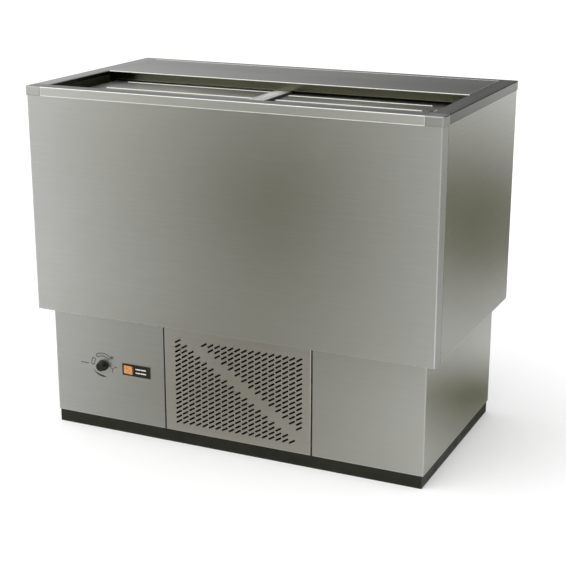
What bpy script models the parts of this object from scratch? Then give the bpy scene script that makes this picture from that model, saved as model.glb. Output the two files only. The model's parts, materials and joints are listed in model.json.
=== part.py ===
"""A chest cabinet with two sliding lids: an insulated tank over a machine base.

Metres, +Z up, front towards -Y. The origin is on the floor under the middle of the cabinet.
"""

import math

import bmesh
import bpy
from mathutils import Matrix, Vector

# Overall size
WIDTH = 1.000
DEPTH = 0.550
HEIGHT = 0.826
FRONT, BACK = -DEPTH / 2, DEPTH / 2

# Clearances and sheet thicknesses
GAP = 0.0003
SHEET = 0.0012
SKIN = 0.0010

# Machine base and plinth
PLINTH_HEIGHT = 0.030
PLINTH_BAR = 0.020
BASE_TOP = 0.294
BASE_HALF = WIDTH / 2 - 0.030
BASE_FRONT = FRONT + 0.030
BASE_BACK = BACK - 0.028
PANEL_BOTTOM = PLINTH_HEIGHT + GAP
PANEL_TOP = BASE_TOP - GAP
PANEL_RETURN = 0.0117
SEAM = 0.0035
SEAM_LEFT = -0.171
SEAM_RIGHT = 0.204
TRAY_FLOOR = PANEL_BOTTOM + 0.0015

# Upper body
BODY_HALF = 0.497
BODY_FRONT = FRONT + 0.0015
BODY_BACK = BACK - 0.002
BODY_TOP = HEIGHT - 0.0015
WRAP = 0.038
WRAP_END = BODY_FRONT + WRAP

# Rim
RIM_FACE = 0.021
RIM_SIDE = 0.040
RIM_FRONT = 0.038
RIM_REAR = 0.026
RIM_LIP = 0.010
RIM_RADIUS = 0.0020
RIM_CORNER_RADIUS = 0.005
WELL_HALF = WIDTH / 2 - RIM_SIDE
WELL_FRONT = FRONT + RIM_FRONT
WELL_BACK = BACK - RIM_REAR

# Rear shelf with its fascia
FASCIA_Y = 0.022
FASCIA_DROP = 0.020
FASCIA_FOLD = 0.006
SHELF_REAR_DROP = 0.012
SHELF_FOAM_Y = (0.051, 0.245)

# Tank and insulation
TANK_HALF = 0.436
TANK_FRONT = -0.210
TANK_BACK = 0.220
TANK_FLOOR = 0.358
TANK_TOP = 0.7785
TANK_FLANGE = 0.020
TANK_CORNER = 0.012
COIL_SPACE = 0.010
COIL_SPACE_REAR = 0.020
FOAM_TOP = 0.812
PAN_RIM = 0.012
PAN_CORNER = 0.004
PASSAGE_BACK = 0.243

# Lids and their tracks
LEDGE_HIGH = 0.8005
LEDGE_LOW = 0.7977
LID_SHEET = 0.0012
LID_HEM = 0.0030
LID_LEFT_X = (-0.440, 0.028)
LID_RIGHT_X = (-0.003, 0.443)
GRIP_X = (-0.010, 0.031)
GRIP_RISE = 0.0032
TRACK_BOTTOM = TANK_TOP + 0.0005
TRACK_WALL = 0.0020
TRACK_WALL_TOP = HEIGHT - RIM_LIP - 0.0005
BREAKER_OUTER_TOP, BREAKER_INNER_TOP = 0.797, 0.793
STEP_FRONT = -0.219
STEP_REAR = 0.033
TRACK_REAR_Y = (0.023, 0.050)
TRACK_REAR_TOP = 0.811
LID_LEFT_Y = (-0.232, 0.046)
LID_RIGHT_Y = (-0.218, 0.032)
RECESS_AT = (0.412, -0.093)
RECESS_HALF = (0.012, 0.045)
RECESS_DEPTH = 0.008
RECESS_CORNER = 0.010
RECESS_TAPER = 0.003

# Grille slots, in columns and rows either side of a plain diagonal band
SLOT_COLUMNS = 19
SLOT_ROWS = 18
SLOT_PITCH_X = 0.0171
SLOT_PITCH_Z = 0.0117
SLOT_FIRST_X = -0.1340
SLOT_FIRST_Z = 0.2545
SLOT_LENGTH = 0.0168
SLOT_WIDTH = 0.0044
SLOT_ANGLE = math.radians(32)
SLOT_BAND = 4

# Vents and cable entry in the lower back panel
VENT_COLUMNS, VENT_ROWS = 4, 7
VENT_FIRST_X, VENT_PITCH_X = -0.040, 0.100
VENT_FIRST_Z, VENT_PITCH_Z = 0.090, 0.022
VENT_LENGTH, VENT_WIDTH = 0.080, 0.006
GLAND_X, GLAND_Z = -0.380, 0.095
JUNCTION_HALF, JUNCTION_DEPTH = 0.045, 0.045
JUNCTION_Z = (0.060, 0.130)

# Controls
KNOB_X, KNOB_Z = -0.340, 0.163
KNOB_SKIRT = 0.0135
KNOB_REACH = 0.0155
THERMOSTAT_HALF_X, THERMOSTAT_HALF_Z = 0.022, 0.020
THERMOSTAT_Y = (-0.2432, -0.205)
THERMOSTAT_HOLE = 0.005
BUSHING_RADIUS, BUSHING_Y, BUSHING_HALF = 0.0045, -0.2395, 0.0095
SWITCH_X, SWITCH_Z = -0.2475, 0.16275
SWITCH_HALF_X, SWITCH_HALF_Z = 0.0375, 0.01425
ROCKER_X = -0.2675
ROCKER_TILT = math.radians(8)
ROCKER_PIVOT_Y = -0.2395
SWITCH_EDGE_X, SWITCH_EDGE_Z = 0.0025, 0.0012
SWITCH_REAR_Y = -0.222
POCKET_HALF_X, POCKET_HALF_Z, POCKET_BACK_Y = 0.0138, 0.0106, -0.229

# Refrigeration unit
FAN_X, FAN_Z = 0.0165, 0.160
FAN_RADIUS = 0.092
FAN_HUB = 0.0215
SHROUD_Y = (-0.1600, -0.1585)
SHROUD_HOLE = 0.098
CONDENSER_X = (-0.130, 0.163)
CONDENSER_Y = (-0.215, -0.175)
CONDENSER_WEB_Y = -0.185
CONDENSER_TOP = 0.272
FIN_COUNT, FIN_THICK = 24, 0.0040
COMPRESSOR_X, COMPRESSOR_Y = 0.330, 0.080
COMPRESSOR_RADIUS = 0.080
FOOT_HALF_X, FOOT_HALF_Y = 0.088, 0.076
MOUNT_X, MOUNT_Y, MOUNT_HEIGHT = 0.074, 0.062, 0.013
TERMINAL_Z = (0.095, 0.160)
DRIER_X, DRIER_Y = 0.200, 0.130
DRIER_Z = (0.080, 0.190)
PIPE_RADIUS, CAPILLARY_RADIUS, SUCTION_RADIUS = 0.0030, 0.0020, 0.0040
PIPE_CLEARANCE = 0.0008
DISCHARGE_X, DISCHARGE_LOW, DISCHARGE_HIGH = 0.220, 0.150, 0.230
CONDENSER_PIPE_Y = -0.190
LIQUID_Z, CAPILLARY_LOW, CAPILLARY_HIGH, SUCTION_Z = 0.062, 0.240, 0.255, 0.165
COIL_RADIUS = 0.004
COIL_TURNS = 5
COIL_LOW, COIL_HIGH = 0.374, 0.738
COIL_TAIL = BASE_TOP - 0.008
INLET_X, OUTLET_X = 0.300, 0.330
DRAIN_X, DRAIN_Y = -0.300, 0.000
DRAIN_BORE, DRAIN_OUTER, DRAIN_FLANGE = 0.010, 0.012, 0.018
DRAIN_END = 0.262
DRAIN_HOLE = 0.0124

ROUND_STEPS = 32
SMOOTH_ANGLE = math.radians(35)


def clear_scene():
    for old in list(bpy.data.objects):
        bpy.data.objects.remove(old, do_unlink=True)


def material(name, colour, roughness, metallic):
    made = bpy.data.materials.new(name)
    made.use_nodes = True
    shader = made.node_tree.nodes["Principled BSDF"]
    shader.inputs["Base Color"].default_value = (*colour, 1)
    shader.inputs["Roughness"].default_value = roughness
    shader.inputs["Metallic"].default_value = metallic
    return made


FINISHES = {
    "steel": ((0.52, 0.52, 0.49), 0.32, 1.0),
    "rim_steel": ((0.46, 0.46, 0.44), 0.28, 1.0),
    "galvanised": ((0.45, 0.47, 0.48), 0.50, 1.0),
    "black_plastic": ((0.020, 0.021, 0.014), 0.45, 0.0),
    "black_paint": ((0.015, 0.015, 0.015), 0.35, 0.0),
    "foam": ((0.80, 0.74, 0.52), 0.90, 0.0),
    "copper": ((0.72, 0.36, 0.20), 0.35, 1.0),
    "aluminium": ((0.68, 0.69, 0.70), 0.40, 1.0),
    "rubber": ((0.03, 0.03, 0.03), 0.80, 0.0),
    "amber": ((0.85, 0.32, 0.05), 0.30, 0.0),
    "white_plastic": ((0.75, 0.76, 0.75), 0.45, 0.0),
}


def finish(obj, look):
    """Gives the object its own material."""
    colour, roughness, metallic = FINISHES[look]
    obj.data.materials.append(material(obj.name, colour, roughness, metallic))
    return obj


def add_mesh(name, mesh_data, look, at=(0, 0, 0)):
    bmesh.ops.remove_doubles(mesh_data, verts=mesh_data.verts, dist=1e-6)
    bmesh.ops.recalc_face_normals(mesh_data, faces=mesh_data.faces)
    mesh = bpy.data.meshes.new(name)
    mesh_data.to_mesh(mesh)
    mesh_data.free()
    mesh.shade_smooth()
    mesh.set_sharp_from_angle(angle=SMOOTH_ANGLE)
    obj = bpy.data.objects.new(name, mesh)
    obj.location = at
    bpy.context.scene.collection.objects.link(obj)
    return finish(obj, look) if look else obj


def add_box(mesh_data, low, high, turn=None):
    """A box between two corners, turned about its own middle when a rotation is given."""
    size = [high[i] - low[i] for i in range(3)]
    middle = Vector([(high[i] + low[i]) / 2 for i in range(3)])
    place = Matrix.Translation(middle)
    if turn:
        place = place @ turn
    place = place @ Matrix.Diagonal((*size, 1))
    bmesh.ops.create_cube(mesh_data, size=1, matrix=place)


def box(name, low, high, look):
    mesh_data = bmesh.new()
    add_box(mesh_data, low, high)
    return add_mesh(name, mesh_data, look)


def prism(name, outline, axis, start, end, look):
    """Extrudes a closed outline along an axis. The outline's pairs are the other two axes, in order."""
    mesh_data = bmesh.new()
    order = [i for i in range(3) if i != axis]
    loops = []
    for level in (start, end):
        ring = []
        for pair in outline:
            point = [0.0, 0.0, 0.0]
            point[axis] = level
            point[order[0]] = pair[0]
            point[order[1]] = pair[1]
            ring.append(mesh_data.verts.new(point))
        loops.append(ring)
    count = len(outline)
    mesh_data.faces.new(loops[0])
    mesh_data.faces.new(loops[1][::-1])
    for i in range(count):
        j = (i + 1) % count
        mesh_data.faces.new((loops[0][i], loops[0][j], loops[1][j], loops[1][i]))
    return add_mesh(name, mesh_data, look)


def loft(name, loops, look):
    """Bridges closed loops of equal length one to the next, and caps the first and the last."""
    mesh_data = bmesh.new()
    rings = [[mesh_data.verts.new(point) for point in loop] for loop in loops]
    count = len(rings[0])
    mesh_data.faces.new(rings[0])
    mesh_data.faces.new(rings[-1][::-1])
    for lower, upper in zip(rings, rings[1:]):
        for i in range(count):
            j = (i + 1) % count
            mesh_data.faces.new((lower[i], lower[j], upper[j], upper[i]))
    return add_mesh(name, mesh_data, look)


def rectangle(x0, x1, y0, y1, z, radius=0.0, steps=3):
    """A rectangle at a level, with round corners when a radius is given."""
    if not radius:
        return [(x0, y0, z), (x1, y0, z), (x1, y1, z), (x0, y1, z)]
    points = []
    corners = ((x1, y0, -90), (x1, y1, 0), (x0, y1, 90), (x0, y0, 180))
    for x, y, start in corners:
        centre_x = x + (radius if x == x0 else -radius)
        centre_y = y + (radius if y == y0 else -radius)
        for i in range(steps + 1):
            angle = math.radians(start + 90 * i / steps)
            points.append((centre_x + radius * math.cos(angle), centre_y + radius * math.sin(angle), z))
    return points


def turned(name, profile, centre, axis, look, steps=ROUND_STEPS, ring=False):
    """Turns a profile of (radius, distance along the axis). A ring's profile is a closed outline."""
    mesh_data = bmesh.new()
    across = [i for i in range(3) if i != axis]
    rings = []
    for radius, along in profile:
        points = []
        for i in range(steps if radius > 0 else 1):
            angle = 2 * math.pi * i / steps
            point = list(centre)
            point[axis] += along
            point[across[0]] += radius * math.cos(angle)
            point[across[1]] += radius * math.sin(angle)
            points.append(mesh_data.verts.new(point))
        rings.append(points)
    pairs = list(zip(rings, rings[1:]))
    if ring:
        pairs.append((rings[-1], rings[0]))
    for first, second in pairs:
        for i in range(steps):
            j = (i + 1) % steps
            if len(first) == 1:
                mesh_data.faces.new((first[0], second[i], second[j]))
            elif len(second) == 1:
                mesh_data.faces.new((first[i], first[j], second[0]))
            else:
                mesh_data.faces.new((first[i], first[j], second[j], second[i]))
    return add_mesh(name, mesh_data, look)


def shifted(path, thickness):
    """The path moved sideways by a thickness, to its right-hand side, with mitred corners."""
    normals = []
    for (ax, ay), (bx, by) in zip(path, path[1:]):
        length = math.hypot(bx - ax, by - ay)
        normals.append(((by - ay) / length, -(bx - ax) / length))
    moved = []
    for i, (x, y) in enumerate(path):
        before = normals[max(i - 1, 0)]
        after = normals[min(i, len(normals) - 1)]
        scale = thickness / (1 + before[0] * after[0] + before[1] * after[1])
        moved.append((x + (before[0] + after[0]) * scale, y + (before[1] + after[1]) * scale))
    return moved


def rounded(path, radius_of, steps=3):
    """The path with each inner corner replaced by an arc of the radius given for it."""
    points = [path[0]]
    for i in range(1, len(path) - 1):
        here = Vector(path[i])
        back = (Vector(path[i - 1]) - here).normalized()
        ahead = (Vector(path[i + 1]) - here).normalized()
        radius = radius_of(i)
        half = back.angle(ahead) / 2
        centre = here + (back + ahead).normalized() * radius / math.sin(half)
        start = here + back * radius / math.tan(half) - centre
        end = here + ahead * radius / math.tan(half) - centre
        for step in range(steps + 1):
            points.append(tuple(centre + start.slerp(end, step / steps).normalized() * radius))
    points.append(path[-1])
    return points


def folded(path, thickness=SHEET, radius=0.0018, steps=3):
    """The outline of a folded sheet whose outer face follows the path, on the path's left-hand side."""
    inner = shifted(path, thickness)

    def turn(i):
        (ax, ay), (bx, by), (cx, cy) = path[i - 1 : i + 2]
        return (bx - ax) * (cy - by) - (by - ay) * (cx - bx)

    def outer_radius(i):
        return radius if turn(i) < 0 else max(radius - thickness, 1e-4)

    def inner_radius(i):
        return max(radius - thickness, 1e-4) if turn(i) < 0 else radius

    return rounded(path, outer_radius, steps) + rounded(inner, inner_radius, steps)[::-1]


def as_helper(obj):
    """Marks a shape that is only there to be taken away from, or added to, another."""
    obj.hide_render = True
    obj.display_type = "WIRE"
    return obj


def cutter(name, mesh_data):
    return as_helper(add_mesh(name, mesh_data, None))


def combine(obj, helper, operation="DIFFERENCE"):
    step = obj.modifiers.new(helper.name, "BOOLEAN")
    step.operation = operation
    step.object = helper
    return obj


def box_cutter(name, *corners):
    mesh_data = bmesh.new()
    for low, high in corners:
        add_box(mesh_data, low, high)
    return cutter(name, mesh_data)


def round_cutter(name, centre, axis, radius, half_length, steps=ROUND_STEPS):
    ends = [(0, -half_length), (radius, -half_length), (radius, half_length), (0, half_length)]
    return as_helper(turned(name, ends, centre, axis, None, steps))


def smooth_route(points, radius, steps=4):
    """A route of straight runs with each corner replaced by an arc."""
    route = [Vector(points[0])]
    for i in range(1, len(points) - 1):
        here = Vector(points[i])
        back = (Vector(points[i - 1]) - here).normalized()
        ahead = (Vector(points[i + 1]) - here).normalized()
        half = back.angle(ahead) / 2
        centre = here + (back + ahead).normalized() * radius / math.sin(half)
        start = here + back * radius / math.tan(half) - centre
        end = here + ahead * radius / math.tan(half) - centre
        for step in range(steps + 1):
            route.append(centre + start.slerp(end, step / steps).normalized() * radius)
    route.append(Vector(points[-1]))
    return route


def pipe(name, route, radius, look, resolution=2):
    curve = bpy.data.curves.new(name, "CURVE")
    curve.dimensions = "3D"
    curve.bevel_depth = radius
    curve.bevel_resolution = resolution
    curve.use_fill_caps = True
    spline = curve.splines.new("POLY")
    spline.points.add(len(route) - 1)
    for knot, point in zip(spline.points, route):
        knot.co = (*point, 1)
    obj = bpy.data.objects.new(name, curve)
    bpy.context.scene.collection.objects.link(obj)
    return finish(obj, look)


# ---------------------------------------------------------------- plinth and machine base


def plinth():
    half = BASE_HALF - 0.003
    front = BASE_FRONT + 0.0005
    back = BASE_BACK - 0.001
    inner = half - PLINTH_BAR
    box("plinth_front", (-half, front, 0), (half, front + PLINTH_BAR, PLINTH_HEIGHT), "black_plastic")
    box("plinth_rear", (-half, back - PLINTH_BAR, 0), (half, back, PLINTH_HEIGHT), "black_plastic")
    start = front + PLINTH_BAR + GAP
    end = back - PLINTH_BAR - GAP
    box("plinth_left", (-half, start, 0), (-inner, end, PLINTH_HEIGHT), "black_plastic")
    box("plinth_right", (inner, start, 0), (half, end, PLINTH_HEIGHT), "black_plastic")


def base_tray():
    half = BASE_HALF - SHEET - GAP
    front = BASE_FRONT + 0.0125
    back = BASE_BACK - 0.0030
    wall = TRAY_FLOOR - PANEL_BOTTOM
    rim = PANEL_BOTTOM + 0.015
    loft(
        "base_tray",
        [
            rectangle(-half, half, front, back, PANEL_BOTTOM),
            rectangle(-half, half, front, back, rim),
            rectangle(-half + wall, half - wall, front + wall, back - wall, rim),
            rectangle(-half + wall, half - wall, front + wall, back - wall, TRAY_FLOOR),
        ],
        "galvanised",
    )


def grille_slots():
    mesh_data = bmesh.new()
    tilt = Matrix.Rotation(-SLOT_ANGLE, 4, "Y")
    for row in range(SLOT_ROWS):
        for column in range(SLOT_COLUMNS):
            if row < column < row + SLOT_BAND:
                continue
            x = SLOT_FIRST_X + column * SLOT_PITCH_X
            z = SLOT_FIRST_Z - row * SLOT_PITCH_Z
            low = (x - SLOT_LENGTH / 2, BASE_FRONT - 0.002, z - SLOT_WIDTH / 2)
            high = (x + SLOT_LENGTH / 2, BASE_FRONT + 0.004, z + SLOT_WIDTH / 2)
            add_box(mesh_data, low, high, tilt)
    return cutter("grille_slot_cutter", mesh_data)


def front_panels():
    face = BASE_FRONT
    deep = BASE_FRONT + PANEL_RETURN
    half_seam = SEAM / 2
    paths = {
        "control_panel": [
            (-BASE_HALF, face),
            (SEAM_LEFT - half_seam, face),
            (SEAM_LEFT - half_seam, deep),
        ],
        "grille_panel": [
            (SEAM_LEFT + half_seam, deep),
            (SEAM_LEFT + half_seam, face),
            (SEAM_RIGHT - half_seam, face),
            (SEAM_RIGHT - half_seam, deep),
        ],
        "right_front_panel": [
            (SEAM_RIGHT + half_seam, deep),
            (SEAM_RIGHT + half_seam, face),
            (BASE_HALF, face),
        ],
    }
    made = {}
    for name, path in paths.items():
        outline = folded(path[::-1])
        made[name] = prism(name, outline, 2, PANEL_BOTTOM, PANEL_TOP, "steel")
    combine(made["grille_panel"], grille_slots())
    knob_hole = round_cutter("thermostat_hole", (KNOB_X, BASE_FRONT, KNOB_Z), 1, THERMOSTAT_HOLE, 0.004)
    combine(made["control_panel"], knob_hole)
    half_x = SWITCH_HALF_X - SWITCH_EDGE_X
    half_z = SWITCH_HALF_Z - SWITCH_EDGE_Z
    opening = box_cutter(
        "switch_hole",
        (
            (SWITCH_X - half_x, BASE_FRONT - 0.004, SWITCH_Z - half_z),
            (SWITCH_X + half_x, BASE_FRONT + 0.004, SWITCH_Z + half_z),
        ),
    )
    combine(made["control_panel"], opening)


def lower_sides():
    front = BASE_FRONT + SHEET + GAP
    back = BASE_BACK - SHEET - GAP
    flange = 0.020
    for name, side in (("lower_side_left", -1), ("lower_side_right", 1)):
        edge = side * BASE_HALF
        inner = side * (BASE_HALF - flange)
        path = [(inner, front), (edge, front), (edge, back), (inner, back)]
        outline = folded(path if side < 0 else path[::-1])
        prism(name, outline, 2, PANEL_BOTTOM, PANEL_TOP, "steel")


def lower_back_panel():
    low = (-BASE_HALF, BASE_BACK - SHEET, PANEL_BOTTOM)
    high = (BASE_HALF, BASE_BACK, PANEL_TOP)
    panel = box("lower_back_panel", low, high, "galvanised")
    vents = []
    for column in range(VENT_COLUMNS):
        for row in range(VENT_ROWS):
            x = VENT_FIRST_X + column * VENT_PITCH_X
            z = VENT_FIRST_Z + row * VENT_PITCH_Z
            near = (x, BASE_BACK - 0.004, z)
            far = (x + VENT_LENGTH, BASE_BACK + 0.003, z + VENT_WIDTH)
            vents.append((near, far))
    combine(panel, box_cutter("vent_cutter", *vents))
    combine(panel, round_cutter("gland_hole", (GLAND_X, BASE_BACK, GLAND_Z), 1, 0.008, 0.004))


# ---------------------------------------------------------------- upper body


def outer_panels():
    path = [
        (BODY_HALF, WRAP_END),
        (BODY_HALF, BODY_FRONT),
        (-BODY_HALF, BODY_FRONT),
        (-BODY_HALF, WRAP_END),
    ]
    prism("front_panel", folded(path, SKIN, 0.003, 4), 2, BASE_TOP, BODY_TOP, "steel")
    start = WRAP_END + 0.0006
    end = BODY_BACK - SKIN - GAP
    for name, side in (("side_panel_left", -1), ("side_panel_right", 1)):
        x0, x1 = sorted((side * BODY_HALF, side * (BODY_HALF - SKIN)))
        box(name, (x0, start, BASE_TOP), (x1, end, BODY_TOP), "steel")
    box(
        "back_panel",
        (-BODY_HALF, BODY_BACK - SKIN, BASE_TOP),
        (BODY_HALF, BODY_BACK, BODY_TOP),
        "galvanised",
    )


def pipe_passage():
    """The slot behind the tank through which the coil's two ends leave the body."""
    margin = 0.008
    low = (INLET_X - margin, TANK_BACK - 0.003, BASE_TOP - 0.01)
    high = (OUTLET_X + margin, PASSAGE_BACK, TANK_FLOOR + 0.004)
    return box_cutter("pipe_passage", (low, high))


def underside_pan(passage, drain_hole):
    half = BODY_HALF - SKIN - GAP
    front = BODY_FRONT + SKIN + GAP
    back = BODY_BACK - SKIN - GAP
    top = BASE_TOP + PAN_RIM
    floor = BASE_TOP + SHEET
    corner = PAN_CORNER
    inner = corner - SHEET
    outer_loop = (-half, half, front, back)
    inner_loop = (-half + SHEET, half - SHEET, front + SHEET, back - SHEET)
    pan = loft(
        "underside_pan",
        [
            rectangle(*outer_loop, BASE_TOP, corner),
            rectangle(*outer_loop, top, corner),
            rectangle(*inner_loop, top, inner),
            rectangle(*inner_loop, floor, inner),
        ],
        "galvanised",
    )
    combine(pan, passage)
    combine(pan, drain_hole)


def insulation_foam(passage, drain_hole):
    inset = SKIN + SHEET + 2 * GAP
    half = BODY_HALF - inset
    front = BODY_FRONT + inset
    back = BODY_BACK - inset
    bottom = BASE_TOP + SHEET + GAP
    step = TANK_TOP - SHEET - GAP
    cavity_half = TANK_HALF + SKIN + COIL_SPACE
    cavity_front = TANK_FRONT - SKIN - COIL_SPACE
    cavity_back = TANK_BACK + SKIN + COIL_SPACE_REAR
    cavity_floor = TANK_FLOOR - SKIN - GAP
    corner = TANK_CORNER + SKIN + COIL_SPACE
    small, sharp = PAN_CORNER, 0.0004
    foam = loft(
        "insulation_foam",
        [
            rectangle(-half, half, front, back, bottom, small),
            rectangle(-half, half, front, back, FOAM_TOP, small),
            rectangle(-WELL_HALF, WELL_HALF, WELL_FRONT, WELL_BACK, FOAM_TOP, sharp),
            rectangle(-WELL_HALF, WELL_HALF, WELL_FRONT, WELL_BACK, step, sharp),
            rectangle(-cavity_half, cavity_half, cavity_front, cavity_back, step, corner),
            rectangle(-cavity_half, cavity_half, cavity_front, cavity_back, cavity_floor, corner),
        ],
        "foam",
    )
    combine(foam, passage)
    combine(foam, drain_hole)


def inner_tank(drain_hole):
    flange_half = TANK_HALF + TANK_FLANGE
    flange_front = TANK_FRONT - TANK_FLANGE - 0.003
    flange_back = TANK_BACK + TANK_FLANGE + 0.004
    under = TANK_TOP - SHEET
    corner = TANK_CORNER + SKIN
    tank = loft(
        "inner_tank",
        [
            rectangle(-TANK_HALF, TANK_HALF, TANK_FRONT, TANK_BACK, TANK_FLOOR, TANK_CORNER),
            rectangle(-TANK_HALF, TANK_HALF, TANK_FRONT, TANK_BACK, TANK_TOP, TANK_CORNER),
            rectangle(-flange_half, flange_half, flange_front, flange_back, TANK_TOP, corner),
            rectangle(-flange_half, flange_half, flange_front, flange_back, under, corner),
            rectangle(
                -TANK_HALF - SKIN, TANK_HALF + SKIN, TANK_FRONT - SKIN, TANK_BACK + SKIN, under, corner
            ),
            rectangle(
                -TANK_HALF - SKIN,
                TANK_HALF + SKIN,
                TANK_FRONT - SKIN,
                TANK_BACK + SKIN,
                TANK_FLOOR - SKIN,
                corner,
            ),
        ],
        "steel",
    )
    combine(tank, drain_hole)


def evaporator_coil():
    """A tube wound round the tank, whose two ends drop through the floor of the body."""
    offset = SKIN + 0.005
    half = TANK_HALF + offset
    front = TANK_FRONT - offset
    back = TANK_BACK + offset
    outlet_y = back + 0.0086
    corner = TANK_CORNER + offset
    low, high, tail = COIL_LOW, COIL_HIGH, COIL_TAIL
    start = Vector((INLET_X, back, 0))
    end = Vector((OUTLET_X, back, 0))
    around = rectangle(-half, half, front, back, 0, corner)
    # Each turn runs left along the rear wall first, so its corners start at the rear left one.
    half_way = len(around) // 2
    ring = [Vector(point) for point in around[half_way:] + around[:half_way]]
    plan = [start]
    for _ in range(COIL_TURNS):
        plan.extend(ring)
    plan.append(end)
    lengths = [0.0]
    for a, b in zip(plan, plan[1:]):
        lengths.append(lengths[-1] + (b - a).length)
    climb = [Vector((p.x, p.y, low + (high - low) * s / lengths[-1])) for p, s in zip(plan, lengths)]
    head = smooth_route([(INLET_X, back, tail), (INLET_X, back, low), tuple(climb[1])], 0.008)[:-1]
    drop = smooth_route(
        [
            tuple(climb[-2]),
            (OUTLET_X + 0.012, back, high),
            (OUTLET_X, outlet_y, high - 0.004),
            (OUTLET_X, outlet_y, tail),
        ],
        0.006,
    )[1:]
    pipe("evaporator_coil", head + climb[1:-1] + drop, COIL_RADIUS, "copper", 1)
    return back, outlet_y


def drain():
    bore, outer, flange, end = DRAIN_BORE, DRAIN_OUTER, DRAIN_FLANGE, DRAIN_END
    top = TANK_FLOOR + GAP + 0.0015
    turned(
        "drain_pipe",
        [
            (bore, end),
            (outer, end),
            (outer, TANK_FLOOR + GAP),
            (flange, TANK_FLOOR + GAP),
            (flange, top),
            (bore, top),
        ],
        (DRAIN_X, DRAIN_Y, 0),
        2,
        "white_plastic",
        24,
        True,
    )
    wall = outer + 0.003
    turned(
        "drain_cap",
        [
            (0, end - 0.0033),
            (outer + GAP, end - 0.0033),
            (outer + GAP, end + 0.012),
            (wall, end + 0.012),
            (wall, end - 0.006),
            (0, end - 0.006),
        ],
        (DRAIN_X, DRAIN_Y, 0),
        2,
        "black_plastic",
        24,
    )


# ---------------------------------------------------------------- rim, shelf, tracks and lids


def rim_rails():
    low = HEIGHT - RIM_FACE
    lip = HEIGHT - RIM_LIP
    long_end = WELL_HALF - GAP
    front = [(FRONT, low), (FRONT, HEIGHT), (WELL_FRONT, HEIGHT), (WELL_FRONT, lip)]
    prism("rim_front", folded(front, SHEET, RIM_RADIUS), 0, -long_end, long_end, "rim_steel")
    rear = [(BACK, low), (BACK, HEIGHT), (WELL_BACK, HEIGHT), (WELL_BACK, lip)]
    prism("rim_rear", folded(rear[::-1], SHEET, RIM_RADIUS), 0, -long_end, long_end, "rim_steel")
    start, end = WELL_FRONT + GAP, WELL_BACK - GAP
    for name, side in (("rim_left", -1), ("rim_right", 1)):
        edge, inner = side * WIDTH / 2, side * WELL_HALF
        path = [(edge, low), (edge, HEIGHT), (inner, HEIGHT), (inner, lip)]
        outline = folded(path if side < 0 else path[::-1], SHEET, RIM_RADIUS)
        prism(name, outline, 1, start, end, "rim_steel")


def rim_corner(name, side, end, reach):
    """A cap over one corner of the rim: a top plate with a skirt round its two outer sides."""
    low = HEIGHT - RIM_FACE
    edge_x, edge_y = side * WIDTH / 2, end * DEPTH / 2
    inner_x, inner_y = side * WELL_HALF, end * (DEPTH / 2 - reach)

    def outline(inset, z):
        radius = RIM_CORNER_RADIUS - inset
        centre = Vector((edge_x - side * RIM_CORNER_RADIUS, edge_y - end * RIM_CORNER_RADIUS))
        points = [(inner_x, inner_y, z), (edge_x - side * inset, inner_y, z)]
        steps = 5
        for i in range(steps + 1):
            angle = math.pi / 2 * i / steps
            x = centre.x + side * radius * math.cos(angle)
            y = centre.y + end * radius * math.sin(angle)
            points.append((x, y, z))
        points.append((inner_x, edge_y - end * inset, z))
        return points

    drop = RIM_RADIUS * (1 - math.cos(math.pi / 4))
    cap = loft(
        name,
        [
            outline(0, low),
            outline(0, HEIGHT - RIM_RADIUS),
            outline(drop, HEIGHT - drop),
            outline(RIM_RADIUS, HEIGHT),
        ],
        "rim_steel",
    )
    beyond = 0.010
    hollow_x = (edge_x - side * SHEET, inner_x - side * beyond)
    hollow_y = (edge_y - end * SHEET, inner_y - end * beyond)
    mesh_data = bmesh.new()
    add_box(
        mesh_data,
        (min(hollow_x), min(hollow_y), low - beyond),
        (max(hollow_x), max(hollow_y), HEIGHT - SHEET),
    )
    outer_x, outer_y = hollow_x[0], hollow_y[0]
    upright = [
        edge
        for edge in mesh_data.edges
        if all(abs(v.co.x - outer_x) < 1e-6 and abs(v.co.y - outer_y) < 1e-6 for v in edge.verts)
    ]
    bmesh.ops.bevel(
        mesh_data,
        geom=upright,
        offset=RIM_CORNER_RADIUS - SHEET,
        segments=5,
        affect="EDGES",
        profile=0.5,
    )
    combine(cap, cutter(name + "_hollow", mesh_data))


def rear_shelf():
    rear = WELL_BACK - 0.0008
    fold = HEIGHT - FASCIA_DROP
    path = [
        (rear, HEIGHT - SHELF_REAR_DROP),
        (rear, HEIGHT),
        (FASCIA_Y, HEIGHT),
        (FASCIA_Y, fold),
        (FASCIA_Y + FASCIA_FOLD, fold),
    ]
    left, right = -WELL_HALF + 0.0015, WELL_HALF - 0.0006
    prism("rear_shelf", folded(path[::-1]), 0, left, right, "steel")
    half = WELL_HALF - 0.002
    low = (-half, SHELF_FOAM_Y[0], TRACK_BOTTOM)
    high = (half, SHELF_FOAM_Y[1], HEIGHT - SHEET - 0.0008)
    box("shelf_insulation", low, high, "white_plastic")


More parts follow.
